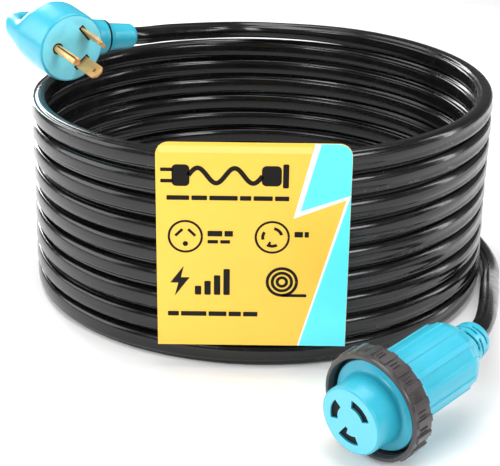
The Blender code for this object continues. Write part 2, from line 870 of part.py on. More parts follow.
exit_azimuth = coil_start_azimuth - 360.0 * lower_exit_turn + 360.0
exit_gap_angle = math.degrees((2.0 * touch_gap + step_length) / coil_radius)
outer_lane = coil_radius + cord_width / 2.0 + cord_diameter / 2.0 + 0.0008
lower_points = [
    floor_point(exit_azimuth - exit_gap_angle, coil_radius),
    floor_point(exit_azimuth - 8.0, coil_radius + 0.0006),
    floor_point(exit_azimuth - 18.0, coil_radius + 0.0041),
    floor_point(exit_azimuth - 29.0, coil_radius + 0.0102),
    floor_point(exit_azimuth - 38.0, outer_lane - 0.0010),
    floor_point(exit_azimuth - 50.0, outer_lane + 0.0006),
    floor_point(44.0, outer_lane),
    floor_point(30.0, outer_lane),
    floor_point(15.0, outer_lane),
    floor_point(2.0, outer_lane + 0.0002, 0.0006),
    floor_point(-9.0, outer_lane + 0.0008, 0.0036),
    floor_point(-20.0, outer_lane + 0.0028, 0.0108),
    floor_point(-30.5, outer_lane + 0.0125, 0.0212),
    floor_point(-40.2, outer_lane + 0.0295, 0.0310),
    floor_point(-48.7, outer_lane + 0.0525, 0.0388),
    socket_exit + exit_direction * 0.012 - Vector((0.0, 0.0, 0.0004)),
    socket_exit,
]
cord_tail_connector = add_tube(
    "cord_tail_connector", smooth_route(lower_points, 0.014), cord_diameter, cord_black, 0.35, 3
)

# ---- the label card and its hook, on the coil's front rim ----
front_turn = (coil_start_azimuth + 90.0) / 360.0
rim_height = coil_top(front_turn)
hook_slope = turn_pitch * hook_width / (4.0 * math.pi * coil_radius)
hook_inner = rim_height + hook_slope + touch_gap
coil_front = coil_radius + cord_width / 2.0
coil_back = coil_radius - cord_width / 2.0
hook_front = coil_front + touch_gap
hook_reach = math.sqrt(coil_back**2 - (hook_width / 2.0) ** 2) - touch_gap


def make_card(work):
    x = card_width / 2.0
    top = card_height
    outline = [(-x, 0.0), (x, 0.0)]
    outline += arc_points(x - card_corner, top - card_corner, card_corner, 0.0, 90.0, 6)
    outline += arc_points(-x + card_corner, top - card_corner, card_corner, 90.0, 180.0, 6)
    front = [work.verts.new((px, -card_thickness, pz)) for px, pz in outline]
    back = [work.verts.new((px, 0.0, pz)) for px, pz in outline]
    work.faces.new(front)
    work.faces.new(back[::-1])
    for index in range(len(outline)):
        after = (index + 1) % len(outline)
        work.faces.new((front[index], front[after], back[after], back[index]))


label_card = add_mesh("label_card", make_card, card_yellow, 0.5)
card_bottom = hook_inner + card_thickness + card_over_rim - card_height
card_back = -(hook_front + card_thickness + touch_gap)
label_card.location = coil_center + Vector((card_shift, card_back, card_bottom))


def make_hook_strip(work):
    # The strip's outline seen from the side, carried along its width.
    top = hook_inner + card_thickness
    outline = [
        (-hook_front - card_thickness, hook_inner - hook_drop),
        (-hook_front, hook_inner - hook_drop),
        (-hook_front, hook_inner),
        (-hook_reach, hook_inner),
        (-hook_reach, hook_inner - hook_drop),
        (-hook_reach + card_thickness, hook_inner - hook_drop),
        (-hook_reach + card_thickness, top),
        (-hook_front - card_thickness, top),
    ]
    x = hook_width / 2.0
    left = [work.verts.new((-x, y, z)) for y, z in outline]
    right = [work.verts.new((x, y, z)) for y, z in outline]
    work.faces.new(left)
    work.faces.new(right[::-1])
    for index in range(len(outline)):
        after = (index + 1) % len(outline)
        work.faces.new((left[index], left[after], right[after], right[index]))


card_hook = add_mesh("card_hook", make_hook_strip, card_yellow, 0.5)
card_hook.location = coil_center
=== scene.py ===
import math

import bpy
import numpy as np
from mathutils import Matrix, Vector


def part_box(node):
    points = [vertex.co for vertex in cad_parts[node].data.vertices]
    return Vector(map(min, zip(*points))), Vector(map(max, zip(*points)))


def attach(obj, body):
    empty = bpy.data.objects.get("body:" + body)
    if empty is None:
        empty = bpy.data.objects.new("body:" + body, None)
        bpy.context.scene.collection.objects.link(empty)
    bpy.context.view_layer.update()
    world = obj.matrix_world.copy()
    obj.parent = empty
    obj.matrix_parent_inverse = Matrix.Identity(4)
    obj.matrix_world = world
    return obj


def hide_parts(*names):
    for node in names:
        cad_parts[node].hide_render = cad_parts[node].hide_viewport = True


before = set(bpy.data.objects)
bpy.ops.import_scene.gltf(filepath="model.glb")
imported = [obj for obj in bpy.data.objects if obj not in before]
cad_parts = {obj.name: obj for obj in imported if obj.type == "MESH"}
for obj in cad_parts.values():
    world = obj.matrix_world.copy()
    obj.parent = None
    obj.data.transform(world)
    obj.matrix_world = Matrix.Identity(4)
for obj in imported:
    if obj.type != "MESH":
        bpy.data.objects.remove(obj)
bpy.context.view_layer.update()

# The coil's own centre, which every place below is measured from.
coilLow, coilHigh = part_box("cord_coil")
coilCenter = np.array([(coilLow.x + coilHigh.x) / 2, (coilLow.y + coilHigh.y) / 2, 0.0])
print("frame read, coil centre", coilCenter)


def unit(values):
    # A direction of length one.
    values = np.asarray(values, float)
    return values / np.linalg.norm(values)


def frameAt(place, outward, roll=0.0):
    # A piece's own frame: Z outward, X level and to the right of it, Y the rest, rolled about Z.
    zAxis = unit(outward)
    xLevel = unit([-zAxis[1], zAxis[0], 0.0])
    yLevel = np.cross(zAxis, xLevel)
    c, s = math.cos(math.radians(roll)), math.sin(math.radians(roll))
    return np.asarray(place, float), np.stack([c * xLevel + s * yLevel, c * yLevel - s * xLevel, zAxis])


def toWorld(points, where):
    # Places along the frame's axes, added to its own place.
    place, axes = where
    return np.asarray(points, float) @ axes + place


# The plug. Its frame lies on its face, from the coil's centre, with Z out of the face.
plug = {
    "place": (-0.1567, 0.0030, 0.1921),
    "outward": (0.5686, -0.7660, -0.1273),
    "roll": -6.0,
    "depth": 0.0733,
    "plateRadius": 0.0276,
    "plateDepth": 0.0034,
    "bossRadius": 0.0150,
    "bossReach": 0.0435,
    "reliefRadius": 0.0109,
    "reliefReach": 0.0731,
    "exitDepth": 0.0235,
    "gapMiddle": 0.0533,
    "gapWidth": 0.0330,
    "gapDepth": 0.0165,
    "gapCorner": 0.0070,
    "bladeLength": 0.0285,
    "bladeWidth": 0.0125,
    "bladeThickness": 0.0020,
    "bladeSpacing": 0.0256,
    "bladeOffset": 0.0110,
    "bladeTip": 0.0035,
    "bladeRoot": 0.010,
    "holeRadius": 0.0019,
    "holeHeight": 0.0205,
    "pinLength": 0.0320,
    "pinRadius": 0.0034,
    "pinOffset": 0.0134,
    "slitWidth": 0.0013,
    "slitAngle": 118.0,
    "slotRoom": 0.0014,
    "shadeBlockDrop": 0.0003,
    "voxel": 0.0007,
}
plugFrame = frameAt(coilCenter + plug["place"], plug["outward"], plug["roll"])

# The connector lies on the lowest point of its ring's front edge, a hair above the floor.
connector = {
    "place": (0.0569, -0.3322),
    "outward": (-0.7052, -0.7013, -0.1044),
    "floorGap": 0.0003,
    "noseRadius": 0.0240,
    "noseLength": 0.0235,
    "noseWall": 0.0140,
    "flangeRadius": 0.0325,
    "flangeThickness": 0.0045,
    "neckRadius": 0.0280,
    "neckBore": 0.0208,
    "neckBack": 0.0362,
    "faceRadius": 0.0226,
    "ringRadius": 0.0395,
    "ringBore": 0.0355,
    "ringFront": 0.0180,
    "ringLength": 0.0180,
    "ringSteps": 20,
    "blockHeight": 0.0011,
    "barHeight": 0.0010,
    "threadPitch": 0.0026,
    "threadHeight": 0.00055,
    "slip": 0.0003,
    "lipRadius": 0.0335,
    "lipThickness": 0.0035,
    "gripRadius": 0.0252,
    "gripLength": 0.060,
    "shoulder": 0.011,
    "slotCircle": 0.0138,
    "slotWidth": 0.0062,
    "hookDrop": 0.0046,
    "hookWidth": 0.0050,
    "ribCount": 12,
    "ribHeight": 0.0010,
    "bootRadius": 0.0142,
    "bootLength": 0.021,
    "bootBend": 10.0,
    "slitDepth": 0.0034,
}
socketOut = unit(connector["outward"])
ringDrop = connector["ringRadius"] * math.hypot(socketOut[0], socketOut[1])
socketHeight = ringDrop + connector["floorGap"] + connector["ringFront"] * socketOut[2]
socketFrame = frameAt(coilCenter + [*connector["place"], socketHeight], socketOut)


def makePiece(name, points, faces, material, smooth=True, uv=None):
    # A mesh object from arrays: faces is a list of arrays, each with one row of point numbers a face.
    mesh = bpy.data.meshes.new(name)
    points = np.ascontiguousarray(points, dtype=np.float32).reshape(-1, 3)
    sizes = np.array([len(group[0]) for group in faces for _ in range(len(group))], dtype=np.int32)
    corners = np.concatenate([np.asarray(group).reshape(-1) for group in faces]).astype(np.int32)
    mesh.vertices.add(len(points))
    mesh.vertices.foreach_set("co", points.reshape(-1))
    mesh.loops.add(len(corners))
    mesh.loops.foreach_set("vertex_index", corners)
    mesh.polygons.add(len(sizes))
    starts = np.concatenate([[0], np.cumsum(sizes)[:-1]]).astype(np.int32)
    mesh.polygons.foreach_set("loop_start", starts)
    mesh.polygons.foreach_set("use_smooth", np.full(len(sizes), smooth))
    mesh.update(calc_edges=True)
    if uv is not None:
        layer = mesh.uv_layers.new(name="alongCord")
        layer.data.foreach_set("uv", uv[corners].astype(np.float32).reshape(-1))
    mesh.validate()
    made = bpy.data.objects.new(name, mesh)
    bpy.context.scene.collection.objects.link(made)
    if material is not None:
        mesh.materials.append(material)
    return made


def gridFaces(rows, columns, closeRows, closeColumns):
    # Quads between neighbouring rows and columns, the last joined to the first where it is closed.
    i = np.arange(rows if closeRows else rows - 1)[:, None]
    j = np.arange(columns if closeColumns else columns - 1)[None, :]
    i2 = (i + 1) % rows
    j2 = (j + 1) % columns
    corners = [i * columns + j, i2 * columns + j, i2 * columns + j2, i * columns + j2]
    return np.stack(corners, -1).reshape(-1, 4)


def capFan(center, ring, flip):
    # Triangles from one middle point to each edge of a closed ring.
    after = np.roll(ring, -1)
    fan = np.stack([np.full(len(ring), center), ring, after], -1)
    return fan[:, ::-1] if flip else fan


def tubeMesh(rings, closedEnds=True):
    # rings is rows x columns x 3, each row a closed loop; the two ends get a fan round their middle.
    rows, columns = rings.shape[:2]
    points = rings.reshape(-1, 3)
    faces = [gridFaces(rows, columns, False, True)]
    if closedEnds:
        first = rings[0].mean(0)
        last = rings[-1].mean(0)
        points = np.concatenate([points, [first, last]])
        faces.append(capFan(rows * columns, np.arange(columns), False))
        faces.append(capFan(rows * columns + 1, np.arange(columns) + (rows - 1) * columns, True))
    return points, faces


def roundCorners(corners, steps=6):
    # A polyline of (radius, height, rounding): each corner becomes a short curve of that rounding.
    corners = np.array(corners, float)
    out = [corners[0, :2]]
    for before, here, after in zip(corners[:-2], corners[1:-1], corners[2:]):
        toBefore = before[:2] - here[:2]
        toAfter = after[:2] - here[:2]
        reach = min(here[2], 0.49 * np.linalg.norm(toBefore), 0.49 * np.linalg.norm(toAfter))
        if reach < 1e-6:
            out.append(here[:2])
            continue
        start = here[:2] + unit(toBefore) * reach
        end = here[:2] + unit(toAfter) * reach
        t = np.linspace(0, 1, steps)[:, None]
        out.extend((1 - t) ** 2 * start + 2 * t * (1 - t) * here[:2] + t**2 * end)
    out.append(corners[-1, :2])
    return np.array(out)


def turned(profile, segments, radiusChange=None):
    # A turned surface: the profile's radius and height carried round the Z axis, closed on the axis.
    angle = np.linspace(0, 2 * np.pi, segments, endpoint=False)
    radius = profile[:, 0][:, None] * np.ones_like(angle)
    height = profile[:, 1][:, None] * np.ones_like(angle)
    if radiusChange is not None:
        radius = radius + radiusChange(radius, height, angle[None, :] * np.ones_like(radius))
    return np.stack([radius * np.cos(angle), radius * np.sin(angle), height], -1)


def turnedPiece(name, profile, segments, where, material, radiusChange=None, loop=False):
    # A turned surface made a piece: a hollow profile joins its last row to its first, a solid one gets caps.
    rings = turned(profile, segments, radiusChange)
    rows, columns = rings.shape[:2]
    if loop:
        points = toWorld(rings.reshape(-1, 3), where)
        faces = [gridFaces(rows, columns, True, True)]
    else:
        points, faces = tubeMesh(rings)
        points = toWorld(points, where)
    return outward(makePiece(name, points, faces, material))


def outward(piece):
    # Turns every face so that the closed surface's volume is positive.
    mesh = piece.data
    points = np.empty(len(mesh.vertices) * 3, dtype=np.float32)
    mesh.vertices.foreach_get("co", points)
    points = points.reshape(-1, 3).astype(float)
    mesh.calc_loop_triangles()
    triangles = np.empty(len(mesh.loop_triangles) * 3, dtype=np.int32)
    mesh.loop_triangles.foreach_get("vertices", triangles)
    a, b, c = (points[triangles.reshape(-1, 3)[:, k]] for k in range(3))
    middle = points.mean(0)
    volume = np.einsum("ij,ij->i", a - middle, np.cross(b - middle, c - middle)).sum()
    if volume < 0:
        mesh.flip_normals()
    return piece


def prism(name, outline, low, high, where, material, turn=0.0, shift=(0.0, 0.0)):
    # An outline in X and Y, turned and shifted, drawn out along Z from low to high.
    outline = np.asarray(outline, float)
    c, s = math.cos(turn), math.sin(turn)
    outline = outline @ np.array([[c, s], [-s, c]]) + np.asarray(shift)
    count = len(outline)
    lower = np.column_stack([outline, np.full(count, low)])
    upper = np.column_stack([outline, np.full(count, high)])
    points = toWorld(np.concatenate([lower, upper]), where)
    side = np.arange(count)
    after = (side + 1) % count
    walls = np.stack([side, after, after + count, side + count], -1)
    faces = [side[None, ::-1], (side + count)[None, :], walls]
    return makePiece(name, points, faces, material, smooth=False)


def arcOutline(radius, width, startDegrees, endDegrees, steps=24):
    # A curved slot: out along the larger arc and back along the smaller one.
    outerAngle = np.radians(np.linspace(startDegrees, endDegrees, steps))
    outer = (radius + width / 2) * np.stack([np.cos(outerAngle), np.sin(outerAngle)], -1)
    inner = (radius - width / 2) * np.stack([np.cos(outerAngle[::-1]), np.sin(outerAngle[::-1])], -1)
    return np.concatenate([outer, inner])


def circle(radius, steps=96):
    # Points round a circle, at the radius times the cosine and sine of even angles.
    angle = np.linspace(0, 2 * np.pi, steps, endpoint=False)
    return radius * np.stack([np.cos(angle), np.sin(angle)], -1)


def roundedBox(width, height, radius, steps=6):
    # A box with a quarter circle at each corner.
    corners = []
    for sx, sy, start in ((1, 1, 0), (-1, 1, 90), (-1, -1, 180), (1, -1, 270)):
        angle = np.radians(np.linspace(start, start + 90, steps))
        center = np.array([sx * (width / 2 - radius), sy * (height / 2 - radius)])
        corners.append(center + radius * np.stack([np.cos(angle), np.sin(angle)], -1))
    return np.concatenate(corners)


def cutWith(piece, cutter, operation="DIFFERENCE"):
    # Takes the cutter from the piece, or joins it on, when the piece settles.
    cutter.hide_render = True
    cutter.hide_viewport = True
    modifier = piece.modifiers.new(cutter.name, "BOOLEAN")
    modifier.operation = operation
    modifier.solver = "EXACT"
    modifier.object = cutter


def settle(piece, angle):
    # Puts the modifiers into the mesh, drops the cutters and shades by angle.
    cutters = [m.object for m in piece.modifiers if m.type == "BOOLEAN"]
    graph = bpy.context.evaluated_depsgraph_get()
    finished = bpy.data.meshes.new_from_object(piece.evaluated_get(graph))
    piece.modifiers.clear()
    piece.data = finished
    for cutter in cutters:
        bpy.data.objects.remove(cutter, do_unlink=True)
    finished.shade_smooth()
    finished.set_sharp_from_angle(angle=math.radians(angle))
    return piece


def softenEdges(piece, width, segments, angle):
    # A narrow round along every edge sharper than the angle.
    modifier = piece.modifiers.new("soften", "BEVEL")
    modifier.width = width
    modifier.segments = segments
    modifier.limit_method = "ANGLE"
    modifier.angle_limit = math.radians(angle)
    return piece


def smoothRoute(points, spacing):
    # A smooth curve through the route's own points, read at an even spacing.
    points = np.asarray(points, float)
    padded = np.vstack([2 * points[0] - points[1], points, 2 * points[-1] - points[-2]])
    t = np.linspace(0, 1, 24, endpoint=False)[None, :, None]
    before, start, end, beyond = (padded[k : len(padded) - 3 + k][:, None] for k in range(4))
    dense = 0.5 * (
        2 * start
        + (end - before) * t
        + (2 * before - 5 * start + 4 * end - beyond) * t**2
        + (3 * start - before - 3 * end + beyond) * t**3
    )
    dense = np.vstack([dense.reshape(-1, 3), points[-1]])
    return evenly(dense, spacing)


def evenly(line, spacing):
    # The same line, read again at steps of equal length.
    lengths = np.concatenate([[0], np.cumsum(np.linalg.norm(np.diff(line, axis=0), axis=1))])
    stops = np.linspace(0, lengths[-1], max(3, int(round(lengths[-1] / spacing)) + 1))
    return np.stack([np.interp(stops, lengths, line[:, k]) for k in range(3)], -1)


def shaderOf(material):
    # The material's one surface shader.
    return material.node_tree.nodes["Principled BSDF"]


def newMaterial(name, color, roughness, metallic=0.0, coat=0.0, coatRoughness=0.1, specular=0.5):
    # One surface shader with its colour, gloss, metal and coat set.
    material = bpy.data.materials.new(name)
    material.use_nodes = True
    shader = shaderOf(material)
    shader.inputs["Base Color"].default_value = (*color, 1.0)
    shader.inputs["Roughness"].default_value = roughness
    shader.inputs["Metallic"].default_value = metallic
    shader.inputs["Coat Weight"].default_value = coat
    shader.inputs["Coat Roughness"].default_value = coatRoughness
    shader.inputs["Specular IOR Level"].default_value = specular
    return material


def addNode(material, kind, **values):
    # A node with its inputs, or its settings, given by name.
    node = material.node_tree.nodes.new(kind)
    for key, value in values.items():
        if key in node.inputs.keys():
            node.inputs[key].default_value = value
        else:
            setattr(node, key, value)
    return node


def join(material, source, target):
    # A link from one socket to another.
    material.node_tree.links.new(source, target)


def noiseOf(material, scale, detail=3.0, stretch=(1.0, 1.0, 1.0)):
    # Noise on the piece's own coordinates, drawn out by the stretch.
    coordinates = addNode(material, "ShaderNodeTexCoord")
    mapping = addNode(material, "ShaderNodeMapping")
    mapping.inputs["Scale"].default_value = stretch
    join(material, coordinates.outputs["Object"], mapping.inputs["Vector"])
    noise = addNode(material, "ShaderNodeTexNoise", Scale=scale, Detail=detail, Roughness=0.55)
    join(material, mapping.outputs["Vector"], noise.inputs["Vector"])
    return noise.outputs["Fac"]


def spread(material, source, low, high, fromLow=0.3, fromHigh=0.7):
    # The source, stretched from one range to another.
    node = addNode(material, "ShaderNodeMapRange")
    node.inputs["From Min"].default_value = fromLow
    node.inputs["From Max"].default_value = fromHigh
    node.inputs["To Min"].default_value = low
    node.inputs["To Max"].default_value = high
    join(material, source, node.inputs["Value"])
    return node.outputs["Result"]


def mixColors(material, factor, first, second):
    # From the first colour to the second as the factor goes from 0 to 1.
    node = material.node_tree.nodes.new("ShaderNodeMix")
    node.data_type = "RGBA"
    join(material, factor, node.inputs["Factor"])
    for value, socket in ((first, node.inputs["A"]), (second, node.inputs["B"])):
        if isinstance(value, tuple):
            socket.default_value = (*value, 1.0)
        else:
            join(material, value, socket)
    return node.outputs["Result"]


def setBump(material, heights, distance, strength):
    # Small relief: the surface moves by the heights times the distance, weighed by the strength.
    bump = addNode(material, "ShaderNodeBump", Strength=strength, Distance=distance)
    join(material, heights, bump.inputs["Height"])
    join(material, bump.outputs["Normal"], shaderOf(material).inputs["Normal"])


def mouldedVinyl(name, color, shade, roughness):
    # Satin moulded vinyl: a fine orange-peel skin, a slow drift of shade and of gloss.
    material = newMaterial(name, color, roughness, coat=0.28, coatRoughness=0.22)
    shader = shaderOf(material)
    slow = spread(material, noiseOf(material, 28.0), 0.0, 1.0)
    join(material, mixColors(material, slow, color, shade), shader.inputs["Base Color"])
    gloss = spread(material, noiseOf(material, 180.0), roughness - 0.05, roughness + 0.07)
    join(material, gloss, shader.inputs["Roughness"])
    setBump(material, noiseOf(material, 1500.0, detail=2.0), 0.00005, 0.35)
    shader.inputs["Subsurface Weight"].default_value = 0.08
    shader.inputs["Subsurface Radius"].default_value = (0.001, 0.003, 0.004)
    return material


looks = {
    "cyan": (0.034, 0.46, 0.61),
    "cyanShade": (0.028, 0.42, 0.57),
    # The nose's paler face colours are painted light on its lit end face.
    "noseLitFace": (0.125, 0.60, 0.78),
    "noseLitFaceShade": (0.110, 0.56, 0.74),
    "pale": (0.235, 0.83, 0.99),
    "paleShade": (0.215, 0.79, 0.97),
    "ring": (0.050, 0.042, 0.044),
    "ringShade": (0.037, 0.031, 0.033),
    "jacket": (0.0028, 0.0028, 0.0030),
    "jacketShade": (0.0048, 0.0048, 0.0052),
    "brass": (0.98, 0.56, 0.24),
    "brassShade": (0.92, 0.45, 0.15),
    "insulator": (0.0025, 0.0022, 0.0022),
    "yellow": (0.97, 0.600, 0.062),
    # The lighter yellow of the fold band is a painted highlight.
    "yellowFoldHighlight": (0.98, 0.69, 0.15),
    "sky": (0.112, 0.84, 0.97),
    "print": (0.008, 0.007, 0.006),
}

cyanVinyl = mouldedVinyl("cyanVinyl", looks["cyan"], looks["cyanShade"], 0.34)
paleVinyl = mouldedVinyl("paleVinyl", looks["pale"], looks["paleShade"], 0.38)
# The nose's end face, painted paler as painted light where it is lit.
litFaceVinyl = mouldedVinyl("litFaceVinyl", looks["noseLitFace"], looks["noseLitFaceShade"], 0.38)
ringPlastic = mouldedVinyl("ringPlastic", looks["ring"], looks["ringShade"], 0.36)


def makeJacket():
    # Glossy extruded jacket: fine lines along the cord, faint scuffs, and worn unreadable surface marks.
    material = newMaterial("cordJacket", looks["jacket"], 0.22, coat=0.20, coatRoughness=0.07, specular=0.40)
    shader = shaderOf(material)
    along = material.node_tree.nodes.new("ShaderNodeUVMap")
    along.uv_map = "alongCord"
    lines = addNode(material, "ShaderNodeMapping")
    lines.inputs["Scale"].default_value = (2.0, 46.0, 1.0)
    join(material, along.outputs["UV"], lines.inputs["Vector"])
    drawn = addNode(material, "ShaderNodeTexNoise", Scale=1.0, Detail=3.0)
    join(material, lines.outputs["Vector"], drawn.inputs["Vector"])
    scuff = spread(material, noiseOf(material, 90.0, detail=5.0), 0.17, 0.31, 0.35, 0.75)
    join(material, scuff, shader.inputs["Roughness"])
    slow = spread(material, noiseOf(material, 22.0), 0.0, 1.0)
    worn = mixColors(material, slow, looks["jacket"], looks["jacketShade"])
    split = addNode(material, "ShaderNodeSeparateXYZ")
    join(material, along.outputs["UV"], split.inputs["Vector"])
    ticks = addNode(material, "ShaderNodeMapping")
    ticks.inputs["Scale"].default_value = (420.0, 6.0, 1.0)
    join(material, along.outputs["UV"], ticks.inputs["Vector"])
    tick = addNode(material, "ShaderNodeTexNoise", Scale=1.0, Detail=1.0)
    join(material, ticks.outputs["Vector"], tick.inputs["Vector"])
    mark = spread(material, tick.outputs["Fac"], 0.0, 1.0, 0.50, 0.53)
    words = addNode(material, "ShaderNodeMapping")
    words.inputs["Scale"].default_value = (38.0, 0.0, 1.0)
    join(material, along.outputs["UV"], words.inputs["Vector"])
    word = addNode(material, "ShaderNodeTexNoise", Scale=1.0, Detail=0.0)
    join(material, words.outputs["Vector"], word.inputs["Vector"])
    worded = spread(material, word.outputs["Fac"], 0.0, 1.0, 0.50, 0.54)
    center = addNode(material, "ShaderNodeMath", operation="SUBTRACT")
    center.inputs[1].default_value = 0.93
    join(material, split.outputs["Y"], center.inputs[0])
    distance = addNode(material, "ShaderNodeMath", operation="ABSOLUTE")
    join(material, center.outputs["Value"], distance.inputs[0])
    band = spread(material, distance.outputs["Value"], 1.0, 0.0, 0.018, 0.026)
    both = addNode(material, "ShaderNodeMath", operation="MULTIPLY")
    join(material, mark, both.inputs[0])
    join(material, worded, both.inputs[1])
    shown = addNode(material, "ShaderNodeMath", operation="MULTIPLY")
    join(material, both.outputs["Value"], shown.inputs[0])
    join(material, band, shown.inputs[1])
    faded = spread(material, shown.outputs["Value"], 0.0, 0.55, 0.0, 1.0)
    join(material, mixColors(material, faded, worn, (0.055, 0.055, 0.058)), shader.inputs["Base Color"])
    height = addNode(material, "ShaderNodeMath", operation="MULTIPLY_ADD")
    height.inputs[1].default_value = 0.35
    join(material, drawn.outputs["Fac"], height.inputs[0])
    join(material, shown.outputs["Value"], height.inputs[2])
    setBump(material, height.outputs["Value"], 0.00016, 0.6)
    return material


cordJacket = makeJacket()


def makeBrass():
    # Stamped brass: fine brushing, warm shade changes and small dull spots.
    material = newMaterial("stampedBrass", looks["brass"], 0.34, metallic=0.55)
    shader = shaderOf(material)
    slow = spread(material, noiseOf(material, 120.0), 0.0, 1.0)
    brass = mixColors(material, slow, looks["brass"], looks["brassShade"])
    join(material, brass, shader.inputs["Base Color"])
    brushing = noiseOf(material, 400.0, stretch=(1.0, 1.0, 6.0))
    join(material, spread(material, brushing, 0.26, 0.42), shader.inputs["Roughness"])
    setBump(material, noiseOf(material, 900.0, stretch=(1.0, 1.0, 8.0)), 0.00003, 0.4)
    return material


stampedBrass = makeBrass()
# The dark insulator finish. On the blocks in the slots the same finish is painted shade.
insulator = newMaterial("insulator", looks["insulator"], 0.6, specular=0.2)
insulatorGloss = spread(insulator, noiseOf(insulator, 300.0), 0.42, 0.6)
join(insulator, insulatorGloss, shaderOf(insulator).inputs["Roughness"])
print("materials made")

# The cord: its coil, its two free ends, and its section, a little flatter in the coil.
cord = {
    "turns": 9,
    "coilRadius": 0.184,
    "pitch": 0.0174,
    "width": 0.0134,
    "height": 0.0172,
    "tailWidth": 0.0150,
    "tailHeight": 0.0152,
    "meanRadius": 0.0078,
    "lobe": 0.00105,
    "lineDepth": 0.00016,
    "startAzimuth": 80.0,
    "exitTurn": 0.93,
    "joinTurn": 0.03,
    "rampTurn": 0.42,
    "solidHalfWidth": 0.00675,
    "solidTailRadius": 0.0080,
    "laneGap": 0.0008,
    "gap": 0.0003,
    "pointsPerTurn": 90,
    "sectionPoints": 96,
    "diameter": 0.0160,
}


def rampShare(turn):
    # A smooth step from 0 to 1 over the first part of a turn.
    t = np.minimum(1.0, turn / cord["rampTurn"])
    return t * t * (3 - 2 * t)


def coilPoint(total):
    # Round the coil, clockwise from above: each turn falls by one pitch, the first one evenly and
    # the lowest one early, so that it lies flat on the floor.
    total = np.asarray(total, float)
    turn = np.minimum(np.floor(total), cord["turns"] - 1)
    share = total - turn
    grade = turn / (cord["turns"] - 1)
    fallen = share + (rampShare(share) - share) * grade
    azimuth = np.radians(cord["startAzimuth"] - 360 * share)
    z = (cord["turns"] - turn - 0.5) * cord["pitch"] + cord["pitch"] * (1 - fallen)
    wander = 0.00035 * np.sin(total * 2.1 * np.pi + 1.0) + 0.0003 * np.sin(total * 3.7 * np.pi)
    radius = cord["coilRadius"] + wander
    return np.stack([radius * np.cos(azimuth), radius * np.sin(azimuth), z], -1) + coilCenter


def polar(azimuth, radius, height):
    # A place round the coil's centre, from its angle in degrees, its radius and its height.
    angle = math.radians(azimuth)
    return coilCenter + np.array([radius * math.cos(angle), radius * math.sin(angle), height])


upperLane = (cord["turns"] + 0.5) * cord["pitch"]
plugExit = toWorld([plug["reliefReach"] + cord["gap"], 0.0, -plug["exitDepth"]], plugFrame)
upperRoute = [
    toWorld([0.058, 0.0, -plug["exitDepth"]], plugFrame),
    plugExit,
    plugExit + plugFrame[1][0] * 0.014,
    coilCenter + [-0.0900, 0.1045, upperLane + 0.0158],
    coilCenter + [-0.0680, 0.1315, upperLane + 0.0110],
    coilCenter + [-0.0473, 0.1551, upperLane + 0.0066],
    coilCenter + [-0.0262, 0.1712, upperLane + 0.0036],
    coilCenter + [0.0007, 0.1808, upperLane + 0.0014],
    coilPoint(0.012),
    coilPoint(cord["joinTurn"]),
]
floorLane = cord["tailHeight"] / 2 + cord["gap"]
coilRadius = cord["coilRadius"]
outerLane = coilRadius + cord["solidHalfWidth"] + cord["solidTailRadius"] + cord["laneGap"]
exitAzimuth = cord["startAzimuth"] - 360 * cord["exitTurn"] + 360
bodyStart = connector["ringFront"] + connector["ringLength"] + 2 * connector["slip"]
gripStart = bodyStart + connector["lipThickness"]
gripEnd = gripStart + connector["gripLength"]
reliefStart = gripEnd + connector["shoulder"]
reliefBend = math.radians(connector["bootBend"])
reliefLength = connector["bootLength"]


def reliefPath(distance):
    # The boot's middle line, an even bend towards the cord.
    bendRadius = reliefLength / reliefBend
    angle = distance / bendRadius
    back = reliefStart + connector["slip"] + bendRadius * math.sin(angle)
    place = [-bendRadius * (1 - math.cos(angle)), 0.0, -back]
    return np.array(place), np.array([-math.sin(angle), 0.0, -math.cos(angle)])


bootEnd, bootDirection = reliefPath(reliefLength)
socketExit = toWorld(bootEnd + bootDirection * connector["slip"], socketFrame)
exitDirection = bootDirection @ socketFrame[1]
lowerRoute = [
    polar(exitAzimuth + 6, coilRadius, floorLane + 0.0006),
    polar(exitAzimuth - 0.3, coilRadius, floorLane + 0.0003),
    polar(exitAzimuth - 8, coilRadius + 0.0006, floorLane),
    polar(exitAzimuth - 18, coilRadius + 0.0041, floorLane),
    polar(exitAzimuth - 29, coilRadius + 0.0102, floorLane),
    polar(exitAzimuth - 38, outerLane - 0.0010, floorLane),
    polar(exitAzimuth - 50, outerLane + 0.0006, floorLane),
    polar(44, outerLane, floorLane),
    polar(30, outerLane, floorLane),
    polar(15, outerLane, floorLane),
    polar(2, outerLane + 0.0002, floorLane + 0.0006),
    polar(-9, outerLane + 0.0008, floorLane + 0.0036),
    polar(-20, outerLane + 0.0028, floorLane + 0.0108),
    polar(-30.5, outerLane + 0.0125, floorLane + 0.0212),
    polar(-40.2, outerLane + 0.0295, floorLane + 0.0310),
    polar(-48.7, outerLane + 0.0525, floorLane + 0.0388),
    socketExit + exitDirection * 0.012 - [0.0, 0.0, 0.0004],
    socketExit,
    toWorld(reliefPath(reliefLength * 0.4)[0], socketFrame),
]


def cordLine():
    # The cord's middle line: the upper end, the coil's turns and the lower end, joined and eased.
    spacing = 2 * np.pi * cord["coilRadius"] / cord["pointsPerTurn"]
    upper = smoothRoute(upperRoute, spacing)
    last = cord["turns"] - 1 + cord["exitTurn"] - 6.0 / 360.0
    count = int(round((last - cord["joinTurn"]) * cord["pointsPerTurn"]))
    coil = coilPoint(np.linspace(cord["joinTurn"], last, count))
    lower = smoothRoute(lowerRoute, spacing)
    line = np.vstack([upper[:-1], coil, lower[1:]])
    # Where the cord is in the coil, 1, and where it lies free, 0, with soft changes between.
    inCoil = np.concatenate([np.zeros(len(upper) - 1), np.ones(len(coil)), np.zeros(len(lower) - 1)])
    kernel = np.hanning(11)
    kernel /= kernel.sum()
    inCoil = np.convolve(np.pad(inCoil, 5, mode="edge"), kernel, mode="valid")
    for _ in range(2):
        line[1:-1] = 0.25 * line[:-2] + 0.5 * line[1:-1] + 0.25 * line[2:]
    return line, inCoil


